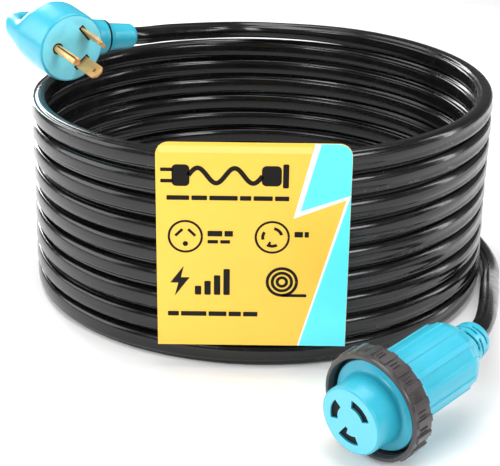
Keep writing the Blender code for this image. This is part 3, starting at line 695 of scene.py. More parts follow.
def cordPiece():
    # The section is set square to the middle line at each of its points.
    line, inCoil = cordLine()
    tangent = np.gradient(line, axis=0)
    tangent /= np.linalg.norm(tangent, axis=1)[:, None]
    out = np.cross([0.0, 0.0, 1.0], tangent)
    out /= np.linalg.norm(out, axis=1)[:, None]
    up = np.cross(tangent, out)
    length = np.concatenate([[0], np.cumsum(np.linalg.norm(np.diff(line, axis=0), axis=1))])
    angle = np.linspace(0, 2 * np.pi, cord["sectionPoints"], endpoint=False)
    # The section is a rounded oval, flatter in the coil, with three shallow lobes that turn slowly.
    halfWidth = (cord["tailWidth"] + (cord["width"] - cord["tailWidth"]) * inCoil)[:, None] / 2
    halfHeight = (cord["tailHeight"] + (cord["height"] - cord["tailHeight"]) * inCoil)[:, None] / 2
    power = 2 / (2.0 + 0.75 * inCoil)[:, None]
    side = np.sign(np.cos(angle)) * np.abs(np.cos(angle)) ** power * halfWidth
    rise = np.sign(np.sin(angle)) * np.abs(np.sin(angle)) ** power * halfHeight
    azimuth = np.arctan2(line[:, 1] - coilCenter[1], line[:, 0] - coilCenter[0])[:, None]
    phase = -0.30 + 0.50 * np.sin(azimuth + 0.9) + 0.12 * np.sin(length[:, None] * 4.0)
    # Three soft grooves part the lobes, and fine drawn lines run along each side of the jacket.
    cut = np.zeros((len(line), cord["sectionPoints"]))
    lobe, fine = cord["lobe"], cord["lineDepth"]
    for place, depth, softness in (
        (0.0, lobe, 0.27), (2.1, lobe, 0.27), (4.25, lobe, 0.27),
        (0.62, fine, 0.075), (-0.55, fine, 0.075), (2.75, 1.25 * fine, 0.08), (3.55, fine, 0.075),
    ):
        away = (angle[None, :] - phase - place + np.pi) % (2 * np.pi) - np.pi
        cut += depth * np.exp(-((away / softness) ** 2))
    scale = 1 - cut / cord["meanRadius"]
    rings = line[:, None] + out[:, None] * (side * scale)[..., None] + up[:, None] * (rise * scale)[..., None]
    points, faces = tubeMesh(rings)
    rows = np.repeat(length[:, None], cord["sectionPoints"], 1)
    columns = np.repeat((angle / (2 * np.pi))[None, :], len(line), 0)
    uv = np.concatenate([np.stack([rows, columns], -1).reshape(-1, 2), [[0, 0], [length[-1], 0]]])
    piece = outward(makePiece("cord", points, faces, cordJacket, uv=uv))
    return piece, line, length[-1]


cordObject, cordPath, cordLength = cordPiece()
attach(cordObject, "cord_set")
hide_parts("cord_coil", "cord_tail_plug", "cord_tail_connector")
print("cord made,", round(float(cordLength), 3), "m along its middle")

def headSections():
    # Depth behind the face, half width, height above and below the middle, and squareness of each section.
    table = np.array([
        [0.0000, 0.0282, 0.0282, 0.0282, 2.0],
        [0.0005, 0.0289, 0.0289, 0.0289, 2.0],
        [0.0014, 0.0292, 0.0292, 0.0292, 2.0],
        [0.0060, 0.0296, 0.0296, 0.0296, 2.0],
        [0.0240, 0.0299, 0.0299, 0.0299, 2.0],
        [0.0330, 0.0299, 0.0296, 0.0298, 2.0],
        [0.0380, 0.0298, 0.0272, 0.0290, 2.05],
        [0.0415, 0.0295, 0.0228, 0.0276, 2.15],
        [0.0445, 0.0291, 0.0174, 0.0256, 2.3],
        [0.0475, 0.0287, 0.0126, 0.0234, 2.5],
        [0.0505, 0.0284, 0.0100, 0.0212, 2.7],
        [0.0540, 0.0281, 0.0092, 0.0190, 2.8],
        [0.0580, 0.0278, 0.0090, 0.0172, 2.9],
        [0.0640, 0.0274, 0.0090, 0.0156, 3.0],
        [0.0690, 0.0262, 0.0090, 0.0143, 3.0],
        [0.0716, 0.0240, 0.0084, 0.0124, 3.0],
        [0.0729, 0.0205, 0.0070, 0.0098, 2.9],
        [0.0733, 0.0160, 0.0052, 0.0072, 2.7],
    ])
    depth = np.concatenate([[0.0, 0.0002, 0.0005, 0.0009, 0.0014], np.linspace(0.003, plug["depth"], 64)])
    return np.stack([depth] + [np.interp(depth, table[:, 0], table[:, k]) for k in (1, 2, 3, 4)], -1)


def plugBodyPiece():
    # The head is an oval section carried back from the round face and drawn in to a broad strap.
    sections = headSections()
    angle = np.linspace(0, 2 * np.pi, 120, endpoint=False)[None, :]
    power = 2 / sections[:, 4][:, None]
    x = np.sign(np.cos(angle)) * np.abs(np.cos(angle)) ** power * sections[:, 1][:, None]
    half = np.where(np.sin(angle) > 0, sections[:, 2][:, None], sections[:, 3][:, None])
    y = np.sign(np.sin(angle)) * np.abs(np.sin(angle)) ** power * half
    z = -sections[:, 0][:, None] * np.ones_like(angle)
    points, faces = tubeMesh(np.stack([x, y, z], -1))
    body = outward(makePiece("plug_body_moulding", toWorld(points, plugFrame), faces, cyanVinyl))
    # The cord's boss flares where it meets the head.
    reach = np.linspace(0.018, plug["bossReach"], 24)
    flare = 0.0016 * np.exp(-((reach - 0.028) / 0.0045).clip(0) ** 1.3)
    radius = plug["bossRadius"] + flare
    radius[-3:] -= np.array([0.0000, 0.0002, 0.0008])
    turn = np.linspace(0, 2 * np.pi, 72, endpoint=False)[None, :]
    rings = np.stack([
        reach[:, None] * np.ones_like(turn),
        radius[:, None] * np.cos(turn),
        np.minimum(radius[:, None] * np.sin(turn) - plug["exitDepth"], -0.0022),
    ], -1)
    points, faces = tubeMesh(rings)
    boss = outward(makePiece("plugBoss", toWorld(points, plugFrame), faces, None))
    cutWith(body, boss, "UNION")
    # The finger opening goes right through and flares towards both rims.
    opening = roundedBox(plug["gapWidth"], plug["gapDepth"], plug["gapCorner"], 8)
    count = len(opening)
    levels = np.linspace(-0.034, 0.034, 35)
    upperFlare = 0.34 * (levels / 0.0094).clip(0, 1.15) ** 3
    lowerFlare = 0.12 * (-levels / 0.016).clip(0, 1.15) ** 3
    widen = 1 + upperFlare + lowerFlare
    walls = np.stack([
        opening[None, :, 0] * widen[:, None],
        levels[:, None] * np.ones(count),
        -plug["gapMiddle"] + opening[None, :, 1] * widen[:, None],
    ], -1)
    points, faces = tubeMesh(walls)
    gap = outward(makePiece("fingerGap", toWorld(points, plugFrame), faces, None))
    cutWith(body, gap)
    remesh = body.modifiers.new("skin", "REMESH")
    remesh.mode = "VOXEL"
    remesh.voxel_size = plug["voxel"]
    remesh.use_smooth_shade = True
    smooth = body.modifiers.new("smooth", "SMOOTH")
    smooth.factor = 0.5
    smooth.iterations = 7
    room = plug["plateRadius"] + 0.0002
    pocketOutline = roundedBox(2 * room, 2 * room, room - 0.00001, 24)
    pocket = prism("platePocket", pocketOutline, -plug["plateDepth"] - 0.0002, 0.01, plugFrame, None)
    cutWith(body, pocket)
    return settle(body, 40)


plugBody = plugBodyPiece()
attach(plugBody, "cord_set")
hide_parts("plug_body", "plug_handle")


def bladeShape(clearance=0.0, low=-plug["bladeRoot"], high=plug["bladeLength"]):
    # A flat bar between two heights. The blade itself has its tip's corners cut off, its slot has none.
    half = plug["bladeWidth"] / 2 + clearance
    thick = plug["bladeThickness"] / 2 + clearance
    tip = 0.0 if clearance else plug["bladeTip"]
    outline = [[-half, low], [half, low], [half, high - tip]]
    if tip:
        outline += [[half - tip, high], [-half + tip, high]]
    outline = np.array(outline + [[-half, high - tip]])
    count = len(outline)
    front = np.column_stack([outline[:, 0], np.full(count, -thick), outline[:, 1]])
    back = np.column_stack([outline[:, 0], np.full(count, thick), outline[:, 1]])
    side = np.arange(count)
    after = (side + 1) % count
    walls = np.stack([side, side + count, after + count, after], -1)
    faces = [side[None, :], (side + count)[None, ::-1], walls]
    return np.concatenate([front, back]), faces


def bladeAt(points, sign):
    # Each blade is slanted by 45 degrees, its inner end further from the round pin.
    angle = math.radians(sign * 45 + 90)
    c, s = math.cos(angle), math.sin(angle)
    turned = points.copy()
    turned[:, 0] = points[:, 0] * c - points[:, 1] * s + plug["bladeOffset"]
    turned[:, 1] = points[:, 0] * s + points[:, 1] * c + sign * plug["bladeSpacing"] / 2
    return toWorld(turned, plugFrame)


# The pale face plate, with the blades, their slots, and dark blocks in the slots behind them, which are
# painted shade.
plateWidth = 2 * plug["plateRadius"]
plateOutline = roundedBox(plateWidth, plateWidth, plug["plateRadius"] - 0.00001, 24)
facePlate = prism("plug_face", plateOutline, -plug["plateDepth"], 0.0, plugFrame, paleVinyl)
shadeBlockTop = -plug["shadeBlockDrop"]
shadeBlockLow = -plug["plateDepth"] + 0.0001
for bladeName, sign in (("line_blade", 1.0), ("neutral_blade", -1.0)):
    points, faces = bladeShape()
    blade = outward(makePiece(bladeName + "_brass", bladeAt(points, sign), faces, stampedBrass, smooth=False))
    rim = circle(plug["holeRadius"], 28)
    ring = np.stack([rim[:, 0], np.zeros(28), plug["holeHeight"] + rim[:, 1]], -1)
    rings = np.stack([ring + [0, -0.004, 0], ring + [0, 0.004, 0]])
    holePoints, holeFaces = tubeMesh(rings)
    hole = outward(makePiece(bladeName + "Hole", bladeAt(holePoints, sign), holeFaces, None))
    cutWith(blade, hole)
    softenEdges(blade, 0.00028, 2, 30)
    settle(blade, 30)
    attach(blade, "cord_set")
    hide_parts(bladeName)
    points, faces = bladeShape(plug["slotRoom"], -0.02, 0.02)
    slot = outward(makePiece(bladeName + "Slot", bladeAt(points, sign), faces, None, smooth=False))
    cutWith(facePlate, slot)
    # A dark block a little below the face inside the slot is painted shade.
    points, faces = bladeShape(plug["slotRoom"], shadeBlockLow, shadeBlockTop)
    slotShadeBlock = makePiece(bladeName + "_shade", bladeAt(points, sign), faces, insulator, smooth=False)
    outward(slotShadeBlock)
    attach(slotShadeBlock, "cord_set")

pinSocket = circle(plug["pinRadius"] + plug["slotRoom"], 36)
pinShift = (-plug["pinOffset"], 0.0)
cutWith(facePlate, prism("pinSocket", pinSocket, -0.02, 0.02, plugFrame, None, shift=pinShift))
# A dark block a little below the face inside the pin's socket is painted shade.
pinSocketShadeBlock = prism("pin_shade", pinSocket, shadeBlockLow, shadeBlockTop, plugFrame, insulator, shift=pinShift)
outward(pinSocketShadeBlock)
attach(pinSocketShadeBlock, "cord_set")
softenEdges(facePlate, 0.00035, 2, 50)
settle(facePlate, 35)
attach(facePlate, "cord_set")
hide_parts("plug_face_plate")

# The round pin is a folded tube with a domed nose and a slit along its side.
pinProfile = roundCorners([
    (0.0, -plug["bladeRoot"], 0), (plug["pinRadius"], -plug["bladeRoot"], 0.0001),
    (plug["pinRadius"], plug["pinLength"] - 0.0004, plug["pinRadius"]), (0.0, plug["pinLength"], 0),
], 10)
pinFrame = (toWorld([*pinShift, 0.0], plugFrame), plugFrame[1])
groundPin = turnedPiece("ground_pin_brass", pinProfile, 48, pinFrame, stampedBrass)
slitAngle = math.radians(plug["slitAngle"])
slitSide = np.array([math.cos(slitAngle), math.sin(slitAngle)])
slit = prism(
    "pinSlit", roundedBox(0.0052, plug["slitWidth"], 0.0003, 3), 0.0015, 0.05, pinFrame, None,
    turn=slitAngle, shift=0.0030 * slitSide,
)
cutWith(groundPin, slit)
# The inside of the folded pin is in the dark.
slitDepth = prism(
    "pin_slit_shade", roundedBox(0.0024, plug["slitWidth"] + 0.0001, 0.0002, 3), 0.0016,
    plug["pinLength"] - 0.0036, pinFrame, insulator, turn=slitAngle, shift=0.0020 * slitSide,
)
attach(outward(slitDepth), "cord_set")
settle(groundPin, 35)
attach(groundPin, "cord_set")
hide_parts("ground_pin")


def plugRelief():
    # A collar and a smooth sleeve that narrows a little, open round the cord at its end.
    r = plug["reliefRadius"]
    start, end = plug["bossReach"] + 0.0003, plug["reliefReach"]
    collar = plug["bossRadius"] - 0.0003
    profile = roundCorners([
        (0.0088, start, 0), (collar, start, 0.0004), (collar - 0.0006, start + 0.0016, 0.0006),
        (r + 0.0010, start + 0.0052, 0.0022), (r + 0.0003, (start + end) / 2 + 0.002, 0.004),
        (r - 0.0002, end - 0.0030, 0.0022), (r - 0.0022, end, 0.0014), (0.0076, end, 0.0003),
        (0.0076, end - 0.006, 0.0003), (0.0088, end - 0.008, 0.0003),
    ], 6)
    rings = turned(profile, 72)
    rings = np.stack([rings[..., 2], rings[..., 0], rings[..., 1] - plug["exitDepth"]], -1)
    points = toWorld(rings.reshape(-1, 3), plugFrame)
    return outward(makePiece("plug_boot", points, [gridFaces(len(profile), 72, True, True)], cyanVinyl))


def seamRing():
    # A dark washer, a square section turned round the cord, fills the line between boss and sleeve.
    low, high = plug["bossReach"] - 0.0010, plug["bossReach"] + 0.0008
    inner, outer = 0.0100, plug["bossRadius"] - 0.0003
    rings = turned(np.array([(inner, low), (inner, high), (outer, high), (outer, low)]), 72)
    rings = np.stack([rings[..., 2], rings[..., 0], rings[..., 1] - plug["exitDepth"]], -1)
    points = toWorld(rings.reshape(-1, 3), plugFrame)
    washer = makePiece("plug_seam", points, [gridFaces(4, 72, True, True)], insulator, smooth=False)
    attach(outward(washer), "cord_set")


seamRing()
plugBoot = plugRelief()
plugBoot.data.set_sharp_from_angle(angle=math.radians(45))
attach(plugBoot, "cord_set")
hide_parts("plug_strain_relief")
print("plug made")

def noseProfile():
    # Down the side of the nose, out over the flange, back to the neck and in again behind the face.
    n, f = connector["noseRadius"], connector["flangeRadius"]
    neck, bore, end = connector["neckRadius"], connector["neckBore"], -connector["neckBack"]
    front = -connector["noseLength"]
    back = front - connector["flangeThickness"]
    wall = -connector["noseWall"]
    return roundCorners([
        (0.0, 0.0, 0), (n, 0.0, 0.0014), (n + 0.0002, front, 0.0060), (f, front, 0.0009), (f, back, 0.0008),
        (neck, back, 0.0003), (neck, end, 0.0002), (bore, end, 0.0002), (bore, wall, 0.0002), (0.0, wall, 0),
    ], 9)


nose = turnedPiece("connector_nose_moulding", noseProfile(), 128, socketFrame, cyanVinyl)
# The curved slots, and the hook on the lowest one's inner side.
# Each has a name, a start and an end in degrees, a radius and a width.
slotCircle, slotWidth = connector["slotCircle"], connector["slotWidth"]
slotPlan = (
    ("line", 20, 84, slotCircle, slotWidth),
    ("neutral", 136, 192, slotCircle, slotWidth),
    ("ground", 232, 292, slotCircle, slotWidth),
    ("groundHook", 232, 251, slotCircle - connector["hookDrop"], connector["hookWidth"]),
)


def cutSlots(piece):
    # Each slot is an arc outline cut straight in from the face.
    for slotName, start, end, radius, width in slotPlan:
        outline = arcOutline(radius, width, start, end)
        cutWith(piece, prism(slotName, outline, -0.020, 0.004, socketFrame, None))


cutSlots(nose)
settle(nose, 38)
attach(nose, "cord_set")
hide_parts("connector_nose")

# A thin skin on the end of the nose, painted paler than the nose's sides as painted light on the lit face.
faceOutline = circle(connector["faceRadius"])
litFaceSkin = prism("connector_lit_face_skin", faceOutline, -0.0006, 0.00012, socketFrame, litFaceVinyl)
cutSlots(litFaceSkin)
settle(litFaceSkin, 30)
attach(litFaceSkin, "cord_set")

# Each slot ends on a dark block a little way in, which is painted shade.
for slotName, start, end, radius, width in slotPlan:
    outline = arcOutline(radius, width, start, end)
    block = prism(slotName + "_shade", outline, -0.0135, -0.0014, socketFrame, insulator)
    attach(outward(block), "cord_set")


def ringChange(radius, height, angle):
    # Grip blocks: a broad raised block and two thin bars in each step, only on the outside.
    outer = radius > connector["ringRadius"] - 0.0016
    step = (angle * connector["ringSteps"] / (2 * np.pi)) % 1.0
    front = -connector["ringFront"]
    along = (front - height) / connector["ringLength"]
    block = ((step > 0.03) & (step < 0.42)) * (along > 0.16) * (along < 0.90)
    barA = ((step > 0.56) & (step < 0.62)) * (along > 0.28) * (along < 0.66)
    barB = ((step > 0.78) & (step < 0.84)) * (along > 0.28) * (along < 0.66)
    return outer * (connector["blockHeight"] * block + connector["barHeight"] * np.maximum(barA, barB))


def ringProfile():
    # Over the front lip, back along the outside, in over the back wall and forward along the thread.
    r, bore, length = connector["ringRadius"], connector["ringBore"], connector["ringLength"]
    front = -connector["ringFront"]
    back = front - length
    outside = r - connector["blockHeight"]
    corners = [
        (bore, front - 0.0004, 0.0003), (bore + 0.0007, front, 0.0004),
        (outside - 0.0006, front, 0.0010), (outside, front - 0.0016, 0.0008),
    ]
    corners += [(outside, front - depth, 0.0) for depth in np.linspace(0.0022, length - 0.0022, 30)]
    corners += [
        (outside, back + 0.0016, 0.0006), (outside - 0.0022, back, 0.0010), (0.0286, back, 0.0004),
        (0.0286, back + 0.005, 0.0004), (bore, back + 0.005, 0.0004),
    ]
    # The thread is drawn as rings: the bore less a cosine of the depth.
    depth = np.linspace(back + 0.0056, front - 0.0008, 40)
    crest = 0.5 + 0.5 * np.cos((depth - back) / connector["threadPitch"] * 2 * np.pi)
    thread = bore - connector["threadHeight"] * crest
    return np.vstack([roundCorners(corners, 4), np.stack([thread, depth], -1)])


lockingRing = turnedPiece(
    "locking_ring_moulding", ringProfile(), 480, socketFrame, ringPlastic, ringChange, loop=True
)
lockingRing.data.set_sharp_from_angle(angle=math.radians(40))
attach(lockingRing, "ring")
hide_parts("locking_ring")


def gripChange(radius, height, angle):
    # Flat raised bars along the grip, ending short of both ends, each with a steep soft flank.
    along = (-height - gripStart - 0.0030) / (connector["gripLength"] - 0.004)
    shown = (along > 0.02) & (along < 1.04)
    step = (angle * connector["ribCount"] / (2 * np.pi)) % 1.0
    rib = 1 / (1 + np.exp(-(0.17 - np.abs(step - 0.5)) / 0.006))
    onGrip = (radius > 0.0225) & (radius < 0.0262)
    return connector["ribHeight"] * rib * shown * onGrip


def bodyProfile():
    # Over the lip, along the grip, round the shoulder to the boot, and forward again inside.
    g, lip, b = connector["gripRadius"], connector["lipRadius"], connector["bootRadius"]
    start, lipBack, gripBack, end = -bodyStart, -gripStart, -gripEnd, -reliefStart
    gripDepths = np.linspace(0.0030, connector["gripLength"] - 0.001, 40)
    corners = [
        (0.0202, start, 0.0003), (lip, start, 0.0010), (lip, lipBack, 0.0010),
        (g + 0.0002, lipBack, 0.0022),
    ]
    corners += [(g, lipBack - depth, 0.0) for depth in gripDepths]
    corners += [
        (g - 0.0005, gripBack, 0.0), (g - 0.0014, gripBack - 0.0035, 0.0),
        (g - 0.0034, gripBack - 0.0066, 0.0), (g - 0.0064, gripBack - 0.0090, 0.0),
        (b + 0.0024, end + 0.0005, 0.0), (b + 0.0008, end, 0.0004), (0.0088, end, 0.0003),
        (0.0088, gripBack, 0.0003), (0.0202, gripBack + 0.010, 0.0003),
    ]
    return roundCorners(corners, 7)


body = turnedPiece(
    "connector_body_moulding", bodyProfile(), 480, socketFrame, cyanVinyl, gripChange, loop=True
)
body.data.set_sharp_from_angle(angle=math.radians(50))
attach(body, "cord_set")
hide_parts("connector_body")


def bootPiece():
    # The boot follows its bent middle line; staggered slits are cut into it as narrow troughs.
    b = connector["bootRadius"]
    share = np.linspace(0, 1, 150)
    segments = 240
    angle = np.linspace(0, 2 * np.pi, segments, endpoint=False)[None, :]
    stations = [0, 0.04, 0.08, 0.5, 0.86, 0.95, 1.0]
    width = np.interp(share, stations, [-0.0010, 0.0, 0.0004, 0.0, -0.0008, -0.0016, -0.0036])
    radius = (b + width)[:, None] * np.ones_like(angle)
    trough = np.zeros_like(radius)
    for row, place in enumerate((0.24, 0.46, 0.68)):
        turnShift = 0.5 * (row % 2)
        step = (angle * 4 / (2 * np.pi) + turnShift) % 1.0
        lean = 0.030 * np.sin((step - 0.5) * 2 * np.pi)
        across = np.exp(-(((share[:, None] - place - lean) / 0.034) ** 6))
        around = np.exp(-(((step - 0.5) / 0.40) ** 12))
        trough = np.maximum(trough, across * around)
    radius = radius - connector["slitDepth"] * trough
    stops = [reliefPath(reliefLength * part) for part in share]
    places = np.array([place for place, _ in stops])
    directions = np.array([direction for _, direction in stops])
    side = np.array([0.0, 1.0, 0.0])
    up = np.cross(directions, side)
    across, upward = radius * np.cos(angle), radius * np.sin(angle)
    rings = places[:, None] + side * across[..., None] + up[:, None] * upward[..., None]
    points, faces = tubeMesh(rings)
    piece = makePiece("connector_boot", toWorld(points, socketFrame), faces, cyanVinyl)
    piece.data.materials.append(insulator)
    deep = np.zeros(len(piece.data.polygons), dtype=np.int32)
    deep[: len(faces[0])] = (trough[:-1] > 0.55).reshape(-1)
    piece.data.polygons.foreach_set("material_index", deep)
    return outward(piece)


boot = bootPiece()
boot.data.set_sharp_from_angle(angle=math.radians(60))
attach(boot, "cord_set")
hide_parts("connector_strain_relief")
print("connector made")

# The card stands upright before the coil, its front towards -Y.
card = {
    "width": 0.1378,
    "height": 0.1568,
    "thickness": 0.0010,
    "corner": 0.0095,
    "inkDepth": 0.00002,
}
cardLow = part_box("label_card")[0]
cardFrame = (
    np.array([cardLow.x + card["width"] / 2 + 0.0002, cardLow.y, cardLow.z]),
    np.array([[1.0, 0.0, 0.0], [0.0, 0.0, 1.0], [0.0, -1.0, 0.0]]),
)


def cardOutline():
    # Square at the foot, a quarter circle at each upper corner, at the corner plus cosine and sine.
    x, top, c = card["width"] / 2, card["height"], card["corner"]
    right = np.radians(np.linspace(0, 90, 12))
    left = np.radians(np.linspace(90, 180, 12))
    return np.concatenate([
        [[-x, 0.0], [x, 0.0]],
        np.stack([x - c + c * np.cos(right), top - c + c * np.sin(right)], -1),
        np.stack([-x + c + c * np.cos(left), top - c + c * np.sin(left)], -1),
    ])


def printedMaterial(name, color):
    # Smooth coated card stock: printed colour, slight fibre in the gloss.
    material = newMaterial(name, color, 0.42, coat=0.15, coatRoughness=0.3)
    shader = shaderOf(material)
    darker = tuple(0.965 * c for c in color)
    mottle = spread(material, noiseOf(material, 60.0, detail=6.0), 0.0, 1.0)
    join(material, mixColors(material, mottle, color, darker), shader.inputs["Base Color"])
    join(material, spread(material, noiseOf(material, 220.0), 0.34, 0.5), shader.inputs["Roughness"])
    setBump(material, noiseOf(material, 700.0, detail=4.0), 0.00003, 0.3)
    return material


yellowPrint = printedMaterial("yellowPrint", looks["yellow"])
skyPrint = printedMaterial("skyPrint", looks["sky"])
whitePrint = printedMaterial("whitePrint", (0.95, 0.95, 0.93))
blackPrint = printedMaterial("blackPrint", looks["print"])
shaderOf(blackPrint).inputs["Specular IOR Level"].default_value = 0.15
shaderOf(blackPrint).inputs["Coat Weight"].default_value = 0.0

cardPlate = prism("label_card_sheet", cardOutline(), -card["thickness"], 0.0, cardFrame, yellowPrint)
softenEdges(cardPlate, 0.00025, 2, 50)
settle(cardPlate, 35)
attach(cardPlate, "card")
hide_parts("label_card")


def flatInk(name, outline, material, high, low=card["inkDepth"]):
    # A printed area: its outline made a thin slab between two heights above the card's front.
    ink = outward(prism(name, outline, low, high, cardFrame, material))
    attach(ink, "card")
    return ink


# A paler band along the fold under the top edge is a painted highlight.
foldWidth, foldDrop = 0.78 * card["width"], 0.0050
foldPlace = [0.015 * card["width"] + (foldWidth - card["width"]) / 2, card["height"] - foldDrop]
foldHighlightBand = roundedBox(foldWidth, 0.0052, 0.0008, 4) + foldPlace
flatInk("card_fold_highlight", foldHighlightBand, printedMaterial("foldHighlightPrint", looks["yellowFoldHighlight"]), 0.00005, 0.00001)

# The sky field to the right of the zigzag, and the white line along it, a hair above the card.
zigShare = np.array([[0.824, 1.0], [0.725, 0.66], [0.988, 0.746], [0.747, 0.0]])
zig = (zigShare - [0.5, 0.0]) * [card["width"], card["height"]]
edge = 0.0002
x, c = card["width"] / 2 - edge, card["corner"]
cornerAngle = np.radians(np.linspace(0, 90, 12))
cornerUp = card["height"] - edge - c + c * np.sin(cornerAngle)
cornerArc = np.stack([x - c + c * np.cos(cornerAngle), cornerUp], -1)
middle = zig[2][1] + 0.0006
upperSky = np.concatenate([[zig[0] - [0.0, edge], zig[1], zig[2], [x, middle]], cornerArc])
lowerSky = np.array([zig[3] + [0.0, edge], [x, edge], [x, middle], zig[2]])
flatInk("sky_field_upper", upperSky, skyPrint, 0.00010)
flatInk("sky_field_lower", lowerSky, skyPrint, 0.00010)


def strokeOutline(points, width):
    # A line with mitred corners, of one width or of one at each point.
    points = np.asarray(points, float)
    direction = np.diff(points, axis=0)
    direction /= np.linalg.norm(direction, axis=1)[:, None]
    normal = np.stack([-direction[:, 1], direction[:, 0]], -1)
    joined = np.vstack([normal[:1], normal[:-1] + normal[1:], normal[-1:]])
    joined[1:-1] /= (0.5 * np.sum(joined[1:-1] ** 2, axis=1))[:, None]
    half = np.broadcast_to(np.asarray(width, float), (len(points),))[:, None] / 2
    return np.concatenate([points + joined * half, (points - joined * half)[::-1]])


lineWidth = np.array([0.0042, 0.0034, 0.0020, 0.0011])
lineEnds = [[0.0, -0.0003], [0, 0], [0, 0], [0.0, 0.0003]]
flatInk("zigzag_line", strokeOutline(zig + lineEnds, lineWidth), whitePrint, 0.00016)


def ringOutline(radius, width):
    # A ring, drawn as an arc that stops one degree short of closing.
    return arcOutline(radius, width, 0.0, 359.0, 40)


def inkAt(name, outline, place):
    # Black ink: the outline moved by the place.
    return flatInk(name, np.asarray(outline) + np.asarray(place), blackPrint, 0.00018)


def bar(width, height, radius):
    # A bar with round corners, their radius at most about half its height.
    return roundedBox(width, height, min(radius, height * 0.49), 4)


def turnOutline(outline, degrees):
    # Each point turned about the middle, by the sine and cosine of the angle.
    angle = math.radians(degrees)
    turn = np.array([[math.cos(angle), math.sin(angle)], [-math.sin(angle), math.cos(angle)]])
    return np.asarray(outline) @ turn


def cardPlace(across, down):
    # A place on the card, in shares of its width from the left and of its height from the top.
    return np.array([(across - 0.5) * card["width"], (1 - down) * card["height"]])


def dashes(prefix, across, down, widths, height, gap=0.0016):
    # A row of plain bars, in the place of a line of words.
    place = cardPlace(across, down)
    for index, width in enumerate(widths):
        inkAt(prefix + "_" + str(index), bar(width, height, 0.0005), place + [width / 2, 0.0])
        place = place + [width + gap, 0.0]


# The drawing of a plug, its wavy cord and a connector, in the place of a heading.
headline = cardPlace(0.385, 0.155)
wave = np.linspace(-0.030, 0.022, 60)
waving = 0.0056 * np.sin((wave + 0.030) / 0.052 * 4 * np.pi)
inkAt("pictogram_cord", strokeOutline(np.stack([wave, waving], -1), 0.0034), headline)
for name, outline, shift in (
    ("plug_body", bar(0.0125, 0.0160, 0.0030), (-0.0355, 0.0)),
    ("blade_a", bar(0.0088, 0.0026, 0.0006), (-0.0453, 0.0042)),
    ("blade_b", bar(0.0088, 0.0026, 0.0006), (-0.0453, -0.0042)),
    ("connector_body", bar(0.0140, 0.0150, 0.0032), (0.0285, 0.0)),
    ("connector_ring", bar(0.0042, 0.0178, 0.0010), (0.0385, 0.0)),
):
    inkAt("pictogram_" + name, outline, headline + shift)
dashes("subtitle", 0.055, 0.262, (0.0160, 0.0110, 0.0200, 0.0080, 0.0135, 0.0100), 0.0034)


def pattern(prefix, place, marks):
    # A contact pattern: a ring with its marks inside.
    inkAt(prefix + "_rim", ringOutline(0.0118, 0.0016), place)
    for index, outline in enumerate(marks):
        inkAt(prefix + "_mark_" + str(index), outline, place)


pattern("plug_pattern", cardPlace(0.150, 0.450), [
    turnOutline(bar(0.0072, 0.0020, 0.0003), 45) + [-0.0046, 0.0030],
    turnOutline(bar(0.0072, 0.0020, 0.0003), -45) + [0.0046, 0.0030],
    circle(0.0019, 32) + [0.0, -0.0056],
])
pattern("connector_pattern", cardPlace(0.600, 0.450), [
    arcOutline(0.0068, 0.0022, 15, 80), arcOutline(0.0068, 0.0022, 145, 195),
    arcOutline(0.0068, 0.0022, 238, 300), arcOutline(0.0048, 0.0020, 238, 258),
])
dashes("plug_note", 0.265, 0.435, (0.0105, 0.0060), 0.0042)
dashes("plug_note_low", 0.265, 0.475, (0.0075, 0.0070), 0.0026)
dashes("connector_note", 0.715, 0.435, (0.0060, 0.0030), 0.0042, 0.0012)

# A bolt with four level bars for the rating, and three rings with a loose end for the length.
bolt = np.array([
    [0.0030, 0.0125], [-0.0075, -0.0015], [-0.0012, -0.0015],
    [-0.0040, -0.0125], [0.0075, 0.0030], [0.0008, 0.0030],
])
inkAt("rating_bolt", bolt * 0.94, cardPlace(0.120, 0.672))
for index, height in enumerate((0.0070, 0.0110, 0.0155, 0.0205)):
    foot = cardPlace(0.215 + 0.050 * index, 0.741)
    inkAt("rating_bar_" + str(index), bar(0.0046, height, 0.0008), foot + [0.0, height / 2])
coilMark = cardPlace(0.655, 0.672)
for index, radius in enumerate((0.0106, 0.0070, 0.0034)):
    inkAt("length_ring_" + str(index), ringOutline(radius, 0.0022), coilMark)
inkAt("length_end", bar(0.0180, 0.0023, 0.0006), coilMark + [0.0090, -0.0107])
dashes("footer", 0.055, 0.838, (0.0080, 0.0185, 0.0130, 0.0090, 0.0105), 0.0036)


def hookPiece():
    # The folded strip: its side outline with round folds, carried across its width.
    low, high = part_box("card_hook")
    t = 0.0010
    front, back, top = low.y, high.y, high.z
    drop = low.z
    corners = [
        (front + t, drop, 0), (front, drop, 0.0003), (front, top, 0.0022), (back, top, 0.0022),
        (back, drop, 0.0003), (back - t, drop, 0.0003), (back - t, top - t, 0.0014),
        (front + t, top - t, 0.0014), (front + t, drop, 0),
    ]
    outline = roundCorners(corners, 7)[:-1]
    count = len(outline)
    left = np.column_stack([np.full(count, low.x), outline])
    right = np.column_stack([np.full(count, high.x), outline])
    side = np.arange(count)
    after = (side + 1) % count
    walls = np.stack([side, side + count, after + count, after], -1)
    faces = [side[None, :], (side + count)[None, ::-1], walls]
    points = np.concatenate([left, right])
    strip = outward(makePiece("card_hook_strip", points, faces, yellowPrint, smooth=False))
    strip.data.shade_smooth()
    strip.data.set_sharp_from_angle(angle=math.radians(35))
    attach(strip, "card")
    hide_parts("card_hook")


hookPiece()
print("card made")

# The inner CAD pieces stay, with a finish of their own.
for name, material in (
    ("plug_blade_carrier", insulator),
    ("contact_carrier", insulator),
    ("line_contact", stampedBrass),
    ("neutral_contact", stampedBrass),
    ("ground_contact", stampedBrass),
    ("ring_seal", insulator),
    ("plug_wire_line", insulator),
    ("plug_wire_neutral", insulator),
    ("plug_wire_ground", insulator),
    ("connector_wire_line", insulator),
    ("connector_wire_neutral", insulator),
    ("connector_wire_ground", insulator),
):
    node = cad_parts[name]
    node.data.materials.clear()
    node.data.materials.append(material)

